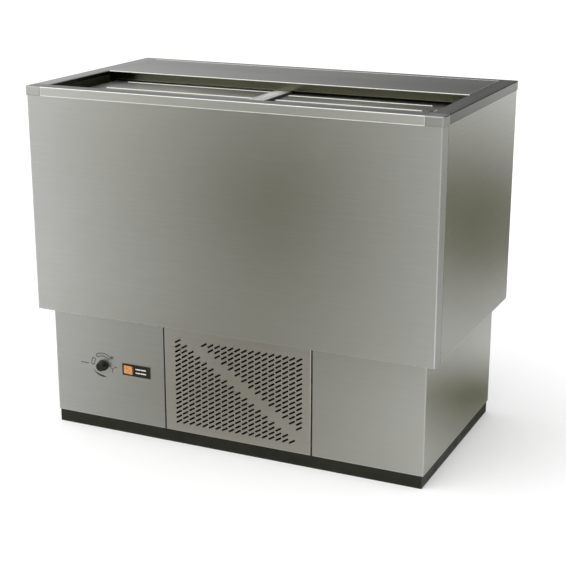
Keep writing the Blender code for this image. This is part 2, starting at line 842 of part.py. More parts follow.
def tracks():
    outer = WELL_FRONT + GAP
    inner = TANK_FRONT - GAP
    front = [
        (outer, TRACK_BOTTOM),
        (outer, TRACK_WALL_TOP),
        (outer + TRACK_WALL, TRACK_WALL_TOP),
        (outer + TRACK_WALL, LEDGE_HIGH),
        (STEP_FRONT, LEDGE_HIGH),
        (STEP_FRONT, LEDGE_LOW),
        (inner, LEDGE_LOW),
        (inner, TRACK_BOTTOM),
    ]
    end = WELL_HALF - GAP
    prism("track_front", front, 0, -end, end, "black_plastic")
    near, far = TRACK_REAR_Y
    rear = [
        (near, TRACK_BOTTOM),
        (near, LEDGE_LOW),
        (STEP_REAR, LEDGE_LOW),
        (STEP_REAR, LEDGE_HIGH),
        (far - TRACK_WALL, LEDGE_HIGH),
        (far - TRACK_WALL, TRACK_REAR_TOP),
        (far, TRACK_REAR_TOP),
        (far, TRACK_BOTTOM),
    ]
    prism("track_rear", rear, 0, -end, end, "black_plastic")
    for name, side in (("breaker_left", -1), ("breaker_right", 1)):
        outer_x = side * end
        inner_x = side * (TANK_HALF - 0.0007)
        wall_x = side * (end - TRACK_WALL)
        outline = [
            (outer_x, TRACK_BOTTOM),
            (outer_x, TRACK_WALL_TOP),
            (wall_x, TRACK_WALL_TOP),
            (wall_x, BREAKER_OUTER_TOP),
            (inner_x, BREAKER_INNER_TOP),
            (inner_x, TRACK_BOTTOM),
        ]
        prism(name, outline, 1, inner + GAP, FASCIA_Y - GAP, "black_plastic")


def lid_left():
    """The upper lid: a flat sheet with a small upturned hem along its front and rear edges."""
    low = LEDGE_HIGH + GAP
    top = low + LID_SHEET
    front, rear = LID_LEFT_Y
    outline = [
        (front, low),
        (rear, low),
        (rear, top + LID_HEM),
        (rear - LID_SHEET, top + LID_HEM),
        (rear - LID_SHEET, top),
        (front + LID_SHEET, top),
        (front + LID_SHEET, top + LID_HEM),
        (front, top + LID_HEM),
    ]
    prism("lid_left", outline, 0, *LID_LEFT_X, "steel")
    x0, x1 = GRIP_X
    path = [(x0, top + GAP), (x0, top + GRIP_RISE), (x1, top + GRIP_RISE), (x1, low + 0.0001)]
    start, end = front + LID_SHEET + 0.0008, rear - LID_SHEET - 0.0008
    prism("lid_left_grip", folded(path, LID_SHEET), 1, start, end, "steel")


def lid_right():
    """The lower lid: a flat sheet with a pressed finger recess near its right-hand end."""
    low = LEDGE_LOW + GAP
    top = low + LID_SHEET
    front, rear = LID_RIGHT_Y
    x0, x1 = LID_RIGHT_X
    lid = box("lid_right", (x0, front, low), (x1, rear, top), "steel")

    def cup(extra, high, depth):
        """The recess grown by extra on every side, from a level down to a depth below the sheet."""
        mesh_data = bmesh.new()
        rings = []
        for z, shrink in ((high, 0.0), (top - depth, RECESS_TAPER)):
            reach = [half + extra - shrink for half in RECESS_HALF]
            x0, x1 = RECESS_AT[0] - reach[0], RECESS_AT[0] + reach[0]
            y0, y1 = RECESS_AT[1] - reach[1], RECESS_AT[1] + reach[1]
            points = rectangle(x0, x1, y0, y1, z, RECESS_CORNER - shrink, 4)
            rings.append([mesh_data.verts.new(point) for point in points])
        count = len(rings[0])
        mesh_data.faces.new(rings[0])
        mesh_data.faces.new(rings[1][::-1])
        for i in range(count):
            j = (i + 1) % count
            mesh_data.faces.new((rings[0][i], rings[0][j], rings[1][j], rings[1][i]))
        return mesh_data

    outside = cup(LID_SHEET, top - 0.0002, RECESS_DEPTH + LID_SHEET)
    inside = cup(0.0, top + 0.002, RECESS_DEPTH)
    combine(lid, cutter("recess_outside", outside), "UNION")
    combine(lid, cutter("recess_inside", inside))


# ---------------------------------------------------------------- controls


def controls():
    low = (KNOB_X - THERMOSTAT_HALF_X, THERMOSTAT_Y[0], KNOB_Z - THERMOSTAT_HALF_Z)
    high = (KNOB_X + THERMOSTAT_HALF_X, THERMOSTAT_Y[1], KNOB_Z + THERMOSTAT_HALF_Z)
    thermostat = box("thermostat_body", low, high, "black_plastic")
    middle = (KNOB_X, BUSHING_Y, KNOB_Z)
    bushing = round_cutter("thermostat_bushing", middle, 1, BUSHING_RADIUS, BUSHING_HALF, 16)
    combine(thermostat, bushing, "UNION")

    # The knob is drawn round its own origin, which is on the panel's face.
    back, tip = -0.0006, -KNOB_REACH
    hollow, hollow_top = 0.0060, -0.0050
    knob = turned(
        "thermostat_knob",
        [
            (0, hollow_top),
            (hollow, hollow_top),
            (hollow, back),
            (KNOB_SKIRT, back),
            (KNOB_SKIRT, back - 0.0022),
            (0.0122, back - 0.0032),
            (0.0110, tip + 0.0016),
            (0.0096, tip),
            (0, tip),
        ],
        (0, 0, 0),
        1,
        "black_plastic",
    )
    knob.location = (KNOB_X, BASE_FRONT, KNOB_Z)
    ridge = ((0.008, tip + 0.0002, -0.0018), (0.0160, back - 0.0004, 0.0018))
    pointer = box_cutter("knob_pointer", ridge)
    pointer.location = knob.location
    combine(knob, pointer, "UNION")

    bezel_front = BASE_FRONT - 0.0020
    bezel_back = BASE_FRONT - GAP
    frame = box(
        "switch_frame",
        (SWITCH_X - SWITCH_HALF_X, bezel_front, SWITCH_Z - SWITCH_HALF_Z),
        (SWITCH_X + SWITCH_HALF_X, bezel_back, SWITCH_Z + SWITCH_HALF_Z),
        "black_plastic",
    )
    half_x = SWITCH_HALF_X - SWITCH_EDGE_X - GAP
    half_z = SWITCH_HALF_Z - SWITCH_EDGE_Z - GAP
    rear = box_cutter(
        "switch_rear",
        (
            (SWITCH_X - half_x, bezel_back - 0.0005, SWITCH_Z - half_z),
            (SWITCH_X + half_x, SWITCH_REAR_Y, SWITCH_Z + half_z),
        ),
    )
    combine(frame, rear, "UNION")
    low = (ROCKER_X - POCKET_HALF_X, bezel_front - 0.002, SWITCH_Z - POCKET_HALF_Z)
    high = (ROCKER_X + POCKET_HALF_X, POCKET_BACK_Y, SWITCH_Z + POCKET_HALF_Z)
    combine(frame, box_cutter("switch_pocket", (low, high)))

    half, height = 0.0125, 0.0100
    rocker = prism(
        "switch_rocker",
        [
            (-half, -0.0090),
            (0, -0.0076),
            (half, -0.0090),
            (half - 0.0012, 0.0020),
            (0.0035, 0.0060),
            (-0.0035, 0.0060),
            (-half + 0.0012, 0.0020),
        ],
        2,
        -height,
        height,
        "amber",
    )
    rocker.location = (ROCKER_X, ROCKER_PIVOT_Y, SWITCH_Z)
    rocker.rotation_euler = (0, 0, -ROCKER_TILT)


# ---------------------------------------------------------------- refrigeration unit


def compressor():
    foot = TRAY_FLOOR + GAP
    pad = MOUNT_HEIGHT
    plate_low = foot + pad + GAP
    plate_high = plate_low + 0.0025
    radius = COMPRESSOR_RADIUS
    shell = turned(
        "compressor",
        [
            (0, plate_low + 0.0010),
            (radius * 0.72, plate_low + 0.0010),
            (radius * 0.92, plate_low + 0.014),
            (radius * 0.97, plate_low + 0.034),
            (radius * 0.97, 0.112),
            (radius, 0.114),
            (radius, 0.120),
            (radius * 0.95, 0.122),
            (radius * 0.94, 0.180),
            (radius * 0.86, 0.204),
            (radius * 0.66, 0.221),
            (radius * 0.36, 0.231),
            (0, 0.234),
        ],
        (COMPRESSOR_X, COMPRESSOR_Y, 0),
        2,
        "black_paint",
    )
    low = (COMPRESSOR_X - FOOT_HALF_X, COMPRESSOR_Y - FOOT_HALF_Y, plate_low)
    high = (COMPRESSOR_X + FOOT_HALF_X, COMPRESSOR_Y + FOOT_HALF_Y, plate_high)
    combine(shell, box_cutter("compressor_feet", (low, high)), "UNION")
    for side, side_name in ((-1, "left"), (1, "right")):
        for end, end_name in ((-1, "front"), (1, "rear")):
            centre = (COMPRESSOR_X + side * MOUNT_X, COMPRESSOR_Y + end * MOUNT_Y, 0)
            turned(
                f"compressor_mount_{end_name}_{side_name}",
                [
                    (0, foot),
                    (0.011, foot),
                    (0.011, foot + 0.004),
                    (0.008, foot + 0.0065),
                    (0.011, foot + 0.009),
                    (0.011, foot + pad),
                    (0, foot + pad),
                ],
                centre,
                2,
                "rubber",
                20,
            )
    face = COMPRESSOR_Y - radius
    box(
        "compressor_terminal_cover",
        (COMPRESSOR_X - 0.030, face - 0.034, TERMINAL_Z[0]),
        (COMPRESSOR_X + 0.030, face - 0.002, TERMINAL_Z[1]),
        "black_plastic",
    )


def condenser():
    """A block of upright fins: a comb in plan, with a solid rear web."""
    left, right = CONDENSER_X
    front, rear = CONDENSER_Y
    web = CONDENSER_WEB_Y
    pitch = (right - left) / FIN_COUNT
    outline = [(left, rear), (left, front)]
    for i in range(FIN_COUNT):
        start = left + i * pitch
        outline.append((start + FIN_THICK, front))
        outline.append((start + FIN_THICK, web))
        outline.append((start + pitch, web))
        outline.append((start + pitch, front))
    outline.append((right + FIN_THICK, front))
    outline.append((right + FIN_THICK, rear))
    prism("condenser", outline, 2, TRAY_FLOOR + GAP, CONDENSER_TOP, "aluminium")


def fan():
    centre = (FAN_X, 0, FAN_Z)
    low = (CONDENSER_X[0], SHROUD_Y[0], TRAY_FLOOR + GAP)
    high = (CONDENSER_X[1] + FIN_THICK, SHROUD_Y[1], CONDENSER_TOP)
    shroud = box("fan_shroud", low, high, "galvanised")
    combine(shroud, round_cutter("shroud_hole", (FAN_X, SHROUD_Y[0], FAN_Z), 1, SHROUD_HOLE, 0.006))
    motor = turned(
        "fan_motor",
        [
            (0, -0.142),
            (0.003, -0.142),
            (0.003, -0.118),
            (0.012, -0.118),
            (0.014, -0.112),
            (0.030, -0.108),
            (0.032, -0.100),
            (0.032, -0.075),
            (0.028, -0.068),
            (0, -0.068),
        ],
        centre,
        1,
        "black_paint",
        24,
    )
    floor = TRAY_FLOOR + GAP
    half = 0.015
    strap = ((FAN_X - half, -0.0700, floor), (FAN_X + half, -0.0660, FAN_Z + 0.020))
    foot = ((FAN_X - half - 0.005, -0.1000, floor), (FAN_X + half + 0.005, -0.0680, floor + 0.003))
    combine(motor, box_cutter("fan_strap", strap), "UNION")
    combine(motor, box_cutter("fan_foot", foot), "UNION")
    hub_back, hub_front, bore_end = -0.1260, -0.1500, -0.1440
    hub = turned(
        "fan_blades",
        [
            (0, bore_end),
            (0.0034, bore_end),
            (0.0034, hub_back),
            (0.022, hub_back),
            (0.024, hub_back - 0.002),
            (0.024, hub_front + 0.003),
            (0.020, hub_front),
            (0, hub_front),
        ],
        (0, 0, 0),
        1,
        "aluminium",
        28,
    )
    hub.location = centre
    blades = bmesh.new()
    count, rows, columns = 5, 4, 4
    phase = 0.013
    for blade in range(count):
        turn = Matrix.Rotation(2 * math.pi * (blade / count + phase), 4, "Y")
        sides = []
        for face in (0, 1):
            grid = []
            for i in range(rows + 1):
                radius = FAN_HUB + (FAN_RADIUS - FAN_HUB) * i / rows
                pitch = math.radians(38 - 18 * i / rows)
                chord = 0.030 + 0.024 * i / rows
                line = []
                for j in range(columns + 1):
                    along = (j / columns - 0.5) * chord
                    angle = along * math.cos(pitch) / radius
                    y = -0.138 + along * math.sin(pitch) * 0.60 + face * 0.0015
                    point = Vector((radius * math.sin(angle), y, radius * math.cos(angle)))
                    line.append(blades.verts.new(turn @ point))
                grid.append(line)
            sides.append(grid)
        front, back = sides
        for i in range(rows):
            for j in range(columns):
                blades.faces.new((front[i][j], front[i][j + 1], front[i + 1][j + 1], front[i + 1][j]))
                blades.faces.new((back[i][j], back[i + 1][j], back[i + 1][j + 1], back[i][j + 1]))
        edge = [(0, j) for j in range(columns)] + [(i, columns) for i in range(rows)]
        edge += [(rows, j) for j in range(columns, 0, -1)] + [(i, 0) for i in range(rows, 0, -1)]
        for (i, j), (k, m) in zip(edge, edge[1:] + edge[:1]):
            blades.faces.new((front[i][j], back[i][j], back[k][m], front[k][m]))
    helper = cutter("blade_set", blades)
    helper.location = centre
    combine(hub, helper, "UNION")


def pipework(inlet_y, outlet_y):
    low, high = DRIER_Z
    neck, barrel = 0.004, 0.013
    turned(
        "filter_drier",
        [
            (0, low),
            (neck, low),
            (neck, low + 0.008),
            (barrel, low + 0.018),
            (barrel, high - 0.018),
            (neck, high - 0.008),
            (neck, high),
            (0, high),
        ],
        (DRIER_X, DRIER_Y, 0),
        2,
        "copper",
        20,
    )
    shell = COMPRESSOR_RADIUS * 0.95 + PIPE_CLEARANCE
    shell_left = COMPRESSOR_X - shell
    shell_rear = COMPRESSOR_Y + shell
    condenser_end = CONDENSER_X[1] + FIN_THICK + GAP
    route = [
        (shell_left, COMPRESSOR_Y, DISCHARGE_LOW),
        (DISCHARGE_X, COMPRESSOR_Y, DISCHARGE_LOW),
        (DISCHARGE_X, COMPRESSOR_Y, DISCHARGE_HIGH),
        (DISCHARGE_X, CONDENSER_PIPE_Y, DISCHARGE_HIGH),
        (condenser_end, CONDENSER_PIPE_Y, DISCHARGE_HIGH),
    ]
    pipe("discharge_pipe", smooth_route(route, 0.014), PIPE_RADIUS, "copper")
    route = [
        (condenser_end, CONDENSER_PIPE_Y, LIQUID_Z),
        (DRIER_X, CONDENSER_PIPE_Y, LIQUID_Z),
        (DRIER_X, DRIER_Y, LIQUID_Z),
        (DRIER_X, DRIER_Y, low - GAP),
    ]
    pipe("liquid_pipe", smooth_route(route, 0.012), PIPE_RADIUS, "copper")
    route = [
        (DRIER_X, DRIER_Y, high + GAP),
        (DRIER_X, DRIER_Y, CAPILLARY_LOW),
        (DRIER_X, inlet_y, CAPILLARY_HIGH),
        (INLET_X, inlet_y, CAPILLARY_HIGH),
        (INLET_X, inlet_y, COIL_TAIL - GAP),
    ]
    pipe("capillary_tube", smooth_route(route, 0.010), CAPILLARY_RADIUS, "copper")
    route = [
        (OUTLET_X, outlet_y, COIL_TAIL - GAP),
        (OUTLET_X, outlet_y, SUCTION_Z),
        (OUTLET_X, shell_rear, SUCTION_Z),
    ]
    pipe("suction_pipe", smooth_route(route, 0.018), SUCTION_RADIUS, "copper")


def electrics():
    inside, outside = BASE_BACK - 0.005, BASE_BACK + 0.0225
    box_back = inside - 0.0005
    low = (GLAND_X - JUNCTION_HALF, box_back - JUNCTION_DEPTH, JUNCTION_Z[0])
    high = (GLAND_X + JUNCTION_HALF, box_back, JUNCTION_Z[1])
    box("junction_box", low, high, "white_plastic")
    face = BASE_BACK + GAP
    turned(
        "cable_gland",
        [
            (0.0040, inside),
            (0.0076, inside),
            (0.0076, face),
            (0.0125, face),
            (0.0125, face + 0.004),
            (0.0110, face + 0.005),
            (0.0110, outside - 0.007),
            (0.0070, outside),
            (0.0040, outside),
        ],
        (GLAND_X, 0, GLAND_Z),
        1,
        "black_plastic",
        24,
        True,
    )


def main():
    clear_scene()
    plinth()
    base_tray()
    front_panels()
    lower_sides()
    lower_back_panel()
    outer_panels()
    passage = pipe_passage()
    drain_hole = round_cutter("drain_hole", (DRAIN_X, DRAIN_Y, 0.330), 2, DRAIN_HOLE, 0.060)
    underside_pan(passage, drain_hole)
    insulation_foam(passage, drain_hole)
    inner_tank(drain_hole)
    inlet_y, outlet_y = evaporator_coil()
    drain()
    rim_rails()
    rim_corner("rim_corner_front_left", -1, -1, RIM_FRONT)
    rim_corner("rim_corner_front_right", 1, -1, RIM_FRONT)
    rim_corner("rim_corner_rear_left", -1, 1, RIM_REAR)
    rim_corner("rim_corner_rear_right", 1, 1, RIM_REAR)
    rear_shelf()
    tracks()
    lid_left()
    lid_right()
    controls()
    compressor()
    condenser()
    fan()
    pipework(inlet_y, outlet_y)
    electrics()


main()
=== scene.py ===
import json
import math

import bmesh
import bpy
from mathutils import Matrix, Vector

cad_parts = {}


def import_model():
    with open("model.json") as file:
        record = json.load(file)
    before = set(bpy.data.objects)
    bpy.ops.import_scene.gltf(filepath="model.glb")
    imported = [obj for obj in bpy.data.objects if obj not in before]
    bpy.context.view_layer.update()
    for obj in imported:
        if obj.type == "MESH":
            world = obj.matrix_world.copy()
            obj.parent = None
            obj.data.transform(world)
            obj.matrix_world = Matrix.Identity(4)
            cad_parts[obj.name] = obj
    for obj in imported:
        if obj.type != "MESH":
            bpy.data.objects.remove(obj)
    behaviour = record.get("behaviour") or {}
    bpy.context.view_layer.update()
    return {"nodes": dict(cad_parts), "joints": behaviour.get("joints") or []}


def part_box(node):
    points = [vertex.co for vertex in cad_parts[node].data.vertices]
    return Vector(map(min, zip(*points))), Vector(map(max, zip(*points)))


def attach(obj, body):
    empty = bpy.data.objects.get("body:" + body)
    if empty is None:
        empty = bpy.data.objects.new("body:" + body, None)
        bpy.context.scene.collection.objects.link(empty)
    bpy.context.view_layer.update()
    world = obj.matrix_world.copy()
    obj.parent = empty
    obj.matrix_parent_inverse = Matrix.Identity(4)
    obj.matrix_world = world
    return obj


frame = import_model()

X, Y, Z = 0, 1, 2
JOINTS = {joint["name"]: joint for joint in frame["joints"]}
CABINET = "cabinet"

# All sizes are in metres.
# How far the face and the back of a printed mark stand off the panel it is on
PRINT = 0.00012
PRINT_BACK = 0.00001
# How far a piece sits off its neighbour
CONTACT = 0.00005
# How thick the sheet of the lids is
LID_SHEET = 0.0012
# Faces that meet at more than this angle keep a sharp edge between them
SHARP_DEGREES = 32

MAP_RANGE_SOCKETS = ("From Min", "From Max", "To Min", "To Max")

# ---------------------------------------------------------------- materials


class Graph:
    """One material's node tree, with a short call for each kind of node that the looks share."""

    def __init__(self, name):
        self.material = bpy.data.materials.new(name)
        self.material.use_nodes = True
        self.nodes = self.material.node_tree.nodes
        self.links = self.material.node_tree.links
        self.shader = self.nodes["Principled BSDF"]
        self.place = self.nodes.new("ShaderNodeTexCoord").outputs["Object"]

    def feed(self, socket, value):
        if isinstance(value, bpy.types.NodeSocket):
            self.links.new(value, socket)
        else:
            socket.default_value = value

    def math(self, operation, a, b=0.0):
        node = self.nodes.new("ShaderNodeMath")
        node.operation = operation
        self.feed(node.inputs[0], a)
        self.feed(node.inputs[1], b)
        return node.outputs[0]

    def times(self, a, b):
        return self.math("MULTIPLY", a, b)

    def stretched(self, scale):
        """The place, scaled by its own number along each axis."""
        node = self.nodes.new("ShaderNodeVectorMath")
        node.operation = "MULTIPLY"
        self.feed(node.inputs[0], self.place)
        node.inputs[1].default_value = scale
        return node.outputs[0]

    def noise(self, scale, detail, vector=None, rough=0.5):
        node = self.nodes.new("ShaderNodeTexNoise")
        self.feed(node.inputs["Vector"], vector or self.place)
        node.inputs["Scale"].default_value = scale
        node.inputs["Detail"].default_value = detail
        node.inputs["Roughness"].default_value = rough
        return node.outputs["Fac"]

    def cells(self, scale, output="Color"):
        node = self.nodes.new("ShaderNodeTexVoronoi")
        self.feed(node.inputs["Vector"], self.place)
        node.inputs["Scale"].default_value = scale
        return node.outputs[output]

    def ramp(self, value, low, high, start=0.0, end=1.0):
        """A smooth climb from start to end as the value goes from low to high."""
        node = self.nodes.new("ShaderNodeMapRange")
        node.interpolation_type = "SMOOTHSTEP"
        self.feed(node.inputs["Value"], value)
        for socket, number in zip(MAP_RANGE_SOCKETS, (low, high, start, end)):
            node.inputs[socket].default_value = number
        return node.outputs["Result"]

    def patches(self, scale, detail, low, high, start=0.0, end=1.0, rough=0.5):
        """Noise drawn apart into soft-edged patches."""
        return self.ramp(self.noise(scale, detail, rough=rough), low, high, start, end)

    def mix(self, factor, a, b):
        node = self.nodes.new("ShaderNodeMix")
        node.data_type = "RGBA"
        sockets = [socket for socket in node.inputs if socket.type == "RGBA"]
        self.feed(node.inputs["Factor"], factor)
        for socket, value in zip(sockets, (a, b)):
            self.feed(socket, value)
        return [socket for socket in node.outputs if socket.type == "RGBA"][0]

    def bump(self, height, distance, strength, below=None):
        node = self.nodes.new("ShaderNodeBump")
        self.feed(node.inputs["Height"], height)
        node.inputs["Distance"].default_value = distance
        node.inputs["Strength"].default_value = strength
        if below:
            self.links.new(below, node.inputs["Normal"])
        return node.outputs["Normal"]

    def axis(self, index, of=None):
        node = self.nodes.new("ShaderNodeSeparateXYZ")
        self.feed(node.inputs[0], of or self.place)
        return node.outputs[index]

    def facing_up(self):
        """1 on faces that look up, where dust settles, and 0 on the rest."""
        normal = self.nodes.new("ShaderNodeNewGeometry").outputs["Normal"]
        return self.ramp(self.axis(Z, normal), 0.6, 1.0)

    def past(self, index, value, sign, width=0.0004):
        """1 where the place along an axis lies beyond a value, on the side of the sign, and 0 elsewhere.

        It climbs from 0 to 1 over the width.
        """
        offset = self.times(self.math("SUBTRACT", self.axis(index), value), sign)
        return self.ramp(offset, 0.0, width)

    def past_all(self, limits):
        """1 where every limit is passed. Each limit is what past takes."""
        mask = 1.0
        for limit in limits:
            mask = self.times(mask, self.past(*limit))
        return mask

    def gap(self, box, index):
        """How far the place is from the nearer end of a box along one axis."""
        place = self.axis(index)
        below = self.math("SUBTRACT", place, box[0][index])
        above = self.math("SUBTRACT", box[1][index], place)
        return self.math("MINIMUM", below, above)

    def near_ends(self, box, index, width):
        """1 at the two ends of a box along one axis, falling to 0 a width away."""
        return self.ramp(self.gap(box, index), 0.0, width, 1.0, 0.0)

    def near_edges(self, box, width):
        """1 at the edges of a box, falling to 0 a width away. On a thin sheet these are its four sides."""
        gaps = [self.gap(box, index) for index in (X, Y, Z)]
        least = self.math("MINIMUM", gaps[0], gaps[1])
        most = self.math("MAXIMUM", gaps[0], gaps[1])
        second = self.math("MAXIMUM", least, self.math("MINIMUM", most, gaps[2]))
        return self.ramp(second, 0.0, width, 1.0, 0.0)

    def finish(self, colour, roughness, metallic=0.0, normal=None, **sockets):
        """Wires the shader and gives back the material. Sockets are named with _ in place of a space."""
        self.feed(self.shader.inputs["Base Color"], colour)
        self.feed(self.shader.inputs["Roughness"], roughness)
        self.feed(self.shader.inputs["Metallic"], metallic)
        if normal is not None:
            self.links.new(normal, self.shader.inputs["Normal"])
        for name, value in sockets.items():
            self.shader.inputs[name.replace("_", " ")].default_value = value
        return self.material


def shade(colour, factor):
    """A colour made darker or brighter by a factor, with its alpha."""
    return (*(channel * factor for channel in colour[:3]), 1.0)


def brushed(name, box, colour, roughness, grain=X, wear=0.5, edge=1.3, hem=0.0, joint=0.0, shaded=()):
    """Brushed sheet: fine lines along the grain, cloudy patches, faint smudges and rubbed edges.

    Edge above 1 paints a highlight near its edges, and below 1 paints shade there; hem makes these painted
    edge lines whiter and duller.
    Joint is how dark its two ends are.
    Shaded lists regions of painted shade, such as the inner side of a fold, each as its limits and the colour
    painted there. A third item from 0 to 1 says how much of its mirror look the region loses.
    """
    rub_width, painted_edge_width, joint_width = 0.004, 0.0026, 0.0016
    graph = Graph(name)
    fine, broad = [1500.0] * 3, [420.0] * 3
    fine[grain], broad[grain] = 12.0, 2.0
    lines = graph.noise(1.0, 2, graph.stretched(fine))
    bands = graph.noise(1.0, 2, graph.stretched(broad))
    cloud = graph.noise(2.6, 3)
    smudge = graph.patches(9.0, 4, 0.52, 0.74, rough=0.6)
    tone = graph.mix(graph.ramp(lines, 0.30, 0.70), shade(colour, 0.94), shade(colour, 1.06))
    tone = graph.mix(graph.ramp(bands, 0.30, 0.70, 0.0, 0.5), tone, shade(colour, 0.96))
    warm = (*(channel * share for channel, share in zip(colour, WARM_TINT)), 1)
    tone = graph.mix(graph.ramp(cloud, 0.35, 0.7, 0.0, 0.5), tone, warm)
    rubbed = graph.times(graph.near_edges(box, rub_width), graph.patches(60.0, 3, 0.35, 0.65))
    tone = graph.mix(graph.times(rubbed, wear), tone, shade(colour, 1.3))
    # Painted edge light: a highlight along the edges where edge is above 1, and shade where it is below 1
    painted_edge_light = graph.times(graph.near_edges(box, painted_edge_width), graph.patches(25.0, 3, 0.2, 0.6, 0.7, 1.0))
    tone = graph.mix(painted_edge_light, tone, tuple(min(1.0, channel) for channel in shade(colour, edge)))
    if joint:
        ends = graph.near_ends(box, grain, joint_width)
        tone = graph.mix(graph.times(ends, joint), tone, (*JOINT_DARK, 1))
    metallic = graph.math("SUBTRACT", 1.0, graph.times(painted_edge_light, hem)) if hem else 1.0
    for limits, shaded_colour, *matt in shaded:
        region = graph.past_all(limits)
        tone = graph.mix(region, tone, (*shaded_colour, 1))
        for share in matt:
            kept = graph.math("SUBTRACT", 1.0, graph.times(region, share))
            metallic = graph.times(metallic, kept)
    uneven = graph.ramp(bands, 0.3, 0.7, roughness - 0.015, roughness + 0.015)
    uneven = graph.math("ADD", uneven, graph.times(smudge, 0.04))
    polished = graph.math("SUBTRACT", uneven, graph.times(rubbed, 0.08 * wear))
    normal = graph.bump(lines, 0.00001, 0.5)
    return graph.finish(tone, polished, metallic, normal, Anisotropic=0.4, Anisotropic_Rotation=0.25)


def galvanised(name, box, colour):
    """Zinc-coated sheet: a spangle of crystals with their own brightness, and white bloom near the edges."""
    roughness, bloom_width = 0.46, 0.03
    graph = Graph(name)
    crystal = graph.axis(X, graph.cells(95.0))
    fine = graph.axis(Y, graph.cells(260.0))
    tone = graph.mix(graph.ramp(crystal, 0.0, 1.0), shade(colour, 0.91), shade(colour, 1.08))
    tone = graph.mix(graph.ramp(fine, 0.0, 1.0, 0.0, 0.18), tone, shade(colour, 1.2))
    bloom = graph.times(graph.near_edges(box, bloom_width), graph.patches(35.0, 4, 0.45, 0.7))
    tone = graph.mix(graph.times(bloom, 0.5), tone, (*ZINC_BLOOM, 1))
    dry = graph.ramp(crystal, 0, 1, roughness - 0.04, roughness + 0.05)
    rough = graph.math("ADD", dry, graph.times(bloom, 0.2))
    normal = graph.bump(graph.noise(420.0, 2), 0.00004, 0.3)
    return graph.finish(tone, rough, 1.0, normal)


def plastic(name, box, colour):
    """Moulded plastic: a fine spark-eroded texture, slight mottling, scuffed edges and a little dust."""
    roughness, scuff_width = 0.42, 0.0018
    graph = Graph(name)
    grain = graph.noise(1500.0, 3, rough=0.65)
    mottle = graph.noise(28.0, 4)
    tone = graph.mix(graph.ramp(mottle, 0.3, 0.7), shade(colour, 0.82), shade(colour, 1.22))
    scuff = graph.times(graph.near_edges(box, scuff_width), graph.patches(240.0, 3, 0.4, 0.65))
    lifted = tuple(min(1.0, channel * 1.4 + 0.05) for channel in colour)
    tone = graph.mix(graph.times(scuff, 0.55), tone, (*lifted, 1))
    dust = graph.times(graph.facing_up(), graph.patches(90.0, 4, 0.35, 0.7, 0.02, 0.16))
    tone = graph.mix(dust, tone, (*LIGHT_DUST, 1))
    rough = graph.ramp(mottle, 0.3, 0.7, roughness - 0.06, roughness + 0.08)
    normal = graph.bump(grain, 0.00005, 0.5)
    return graph.finish(tone, rough, 0.0, normal, Specular_IOR_Level=0.32)


def painted(name, colour):
    """Baked paint over metal: orange peel, dull patches and settled dust."""
    roughness = 0.30
    graph = Graph(name)
    peel = graph.noise(420.0, 2)
    patch = graph.noise(24.0, 4, rough=0.6)
    tone = graph.mix(graph.ramp(patch, 0.3, 0.7), shade(colour, 0.7), shade(colour, 1.5))
    dust = graph.times(graph.facing_up(), graph.patches(70.0, 5, 0.3, 0.75, 0.05, 0.4))
    tone = graph.mix(dust, tone, (*BROWN_DUST, 1))
    clean = graph.ramp(patch, 0.3, 0.7, roughness - 0.05, roughness + 0.12)
    rough = graph.math("ADD", clean, graph.times(dust, 0.5))
    return graph.finish(tone, rough, 0.0, graph.bump(peel, 0.00012, 0.45), Coat_Weight=0.15)


def foam(name, colour, shaded_above):
    """Poured polyurethane: open cells on a yellowed, lumpy skin, painted black above a height as painted
    shade where it shows through the gaps at the top.
    """
    roughness = 0.92
    graph = Graph(name)
    cell = graph.cells(620.0, "Distance")
    lump = graph.noise(18.0, 4)
    tone = graph.mix(graph.ramp(lump, 0.3, 0.7), shade(colour, 0.82), shade(colour, 1.1))
    tone = graph.mix(graph.ramp(cell, 0.0, 0.5, 0.35, 0.0), tone, shade(colour, 0.55))
    tone = graph.mix(graph.past(Z, shaded_above, 1), tone, (*FOAM_TOP_SHADE, 1))
    normal = graph.bump(cell, 0.0005, 0.6, graph.bump(lump, 0.002, 0.4))
    return graph.finish(tone, roughness, 0.0, normal)


def bare_metal(name, colour, stain, roughness, scale, grain=X):
    """Drawn or turned metal with tarnish in patches of a scale, and light tool marks along the grain."""
    graph = Graph(name)
    tarnish = graph.patches(scale, 5, 0.42, 0.68, rough=0.62)
    tone = graph.mix(tarnish, (*colour, 1), (*stain, 1))
    stretch = [900.0] * 3
    stretch[grain] = 20.0
    marks = graph.noise(1.0, 2, graph.stretched(stretch))
    tone = graph.mix(graph.ramp(marks, 0.35, 0.65, 0.0, 0.18), tone, shade(colour, 1.25))
    bright = graph.ramp(marks, 0.3, 0.7, roughness - 0.05, roughness + 0.06)
    rough = graph.math("ADD", bright, graph.times(tarnish, 0.16))
    return graph.finish(tone, rough, 1.0, graph.bump(marks, 0.00003, 0.4))


def rubber(name, colour):
    """Rubber, or black foam strip: a fine grain and a greyish bloom in patches."""
    graph = Graph(name)
    bloom = graph.patches(110.0, 5, 0.45, 0.75)
    tone = graph.mix(graph.times(bloom, 0.3), (*colour, 1), (*RUBBER_BLOOM, 1))
    rough = graph.ramp(bloom, 0, 1, 0.7, 0.9)
    normal = graph.bump(graph.noise(900.0, 3), 0.00008, 0.5)
    return graph.finish(tone, rough, 0.0, normal)


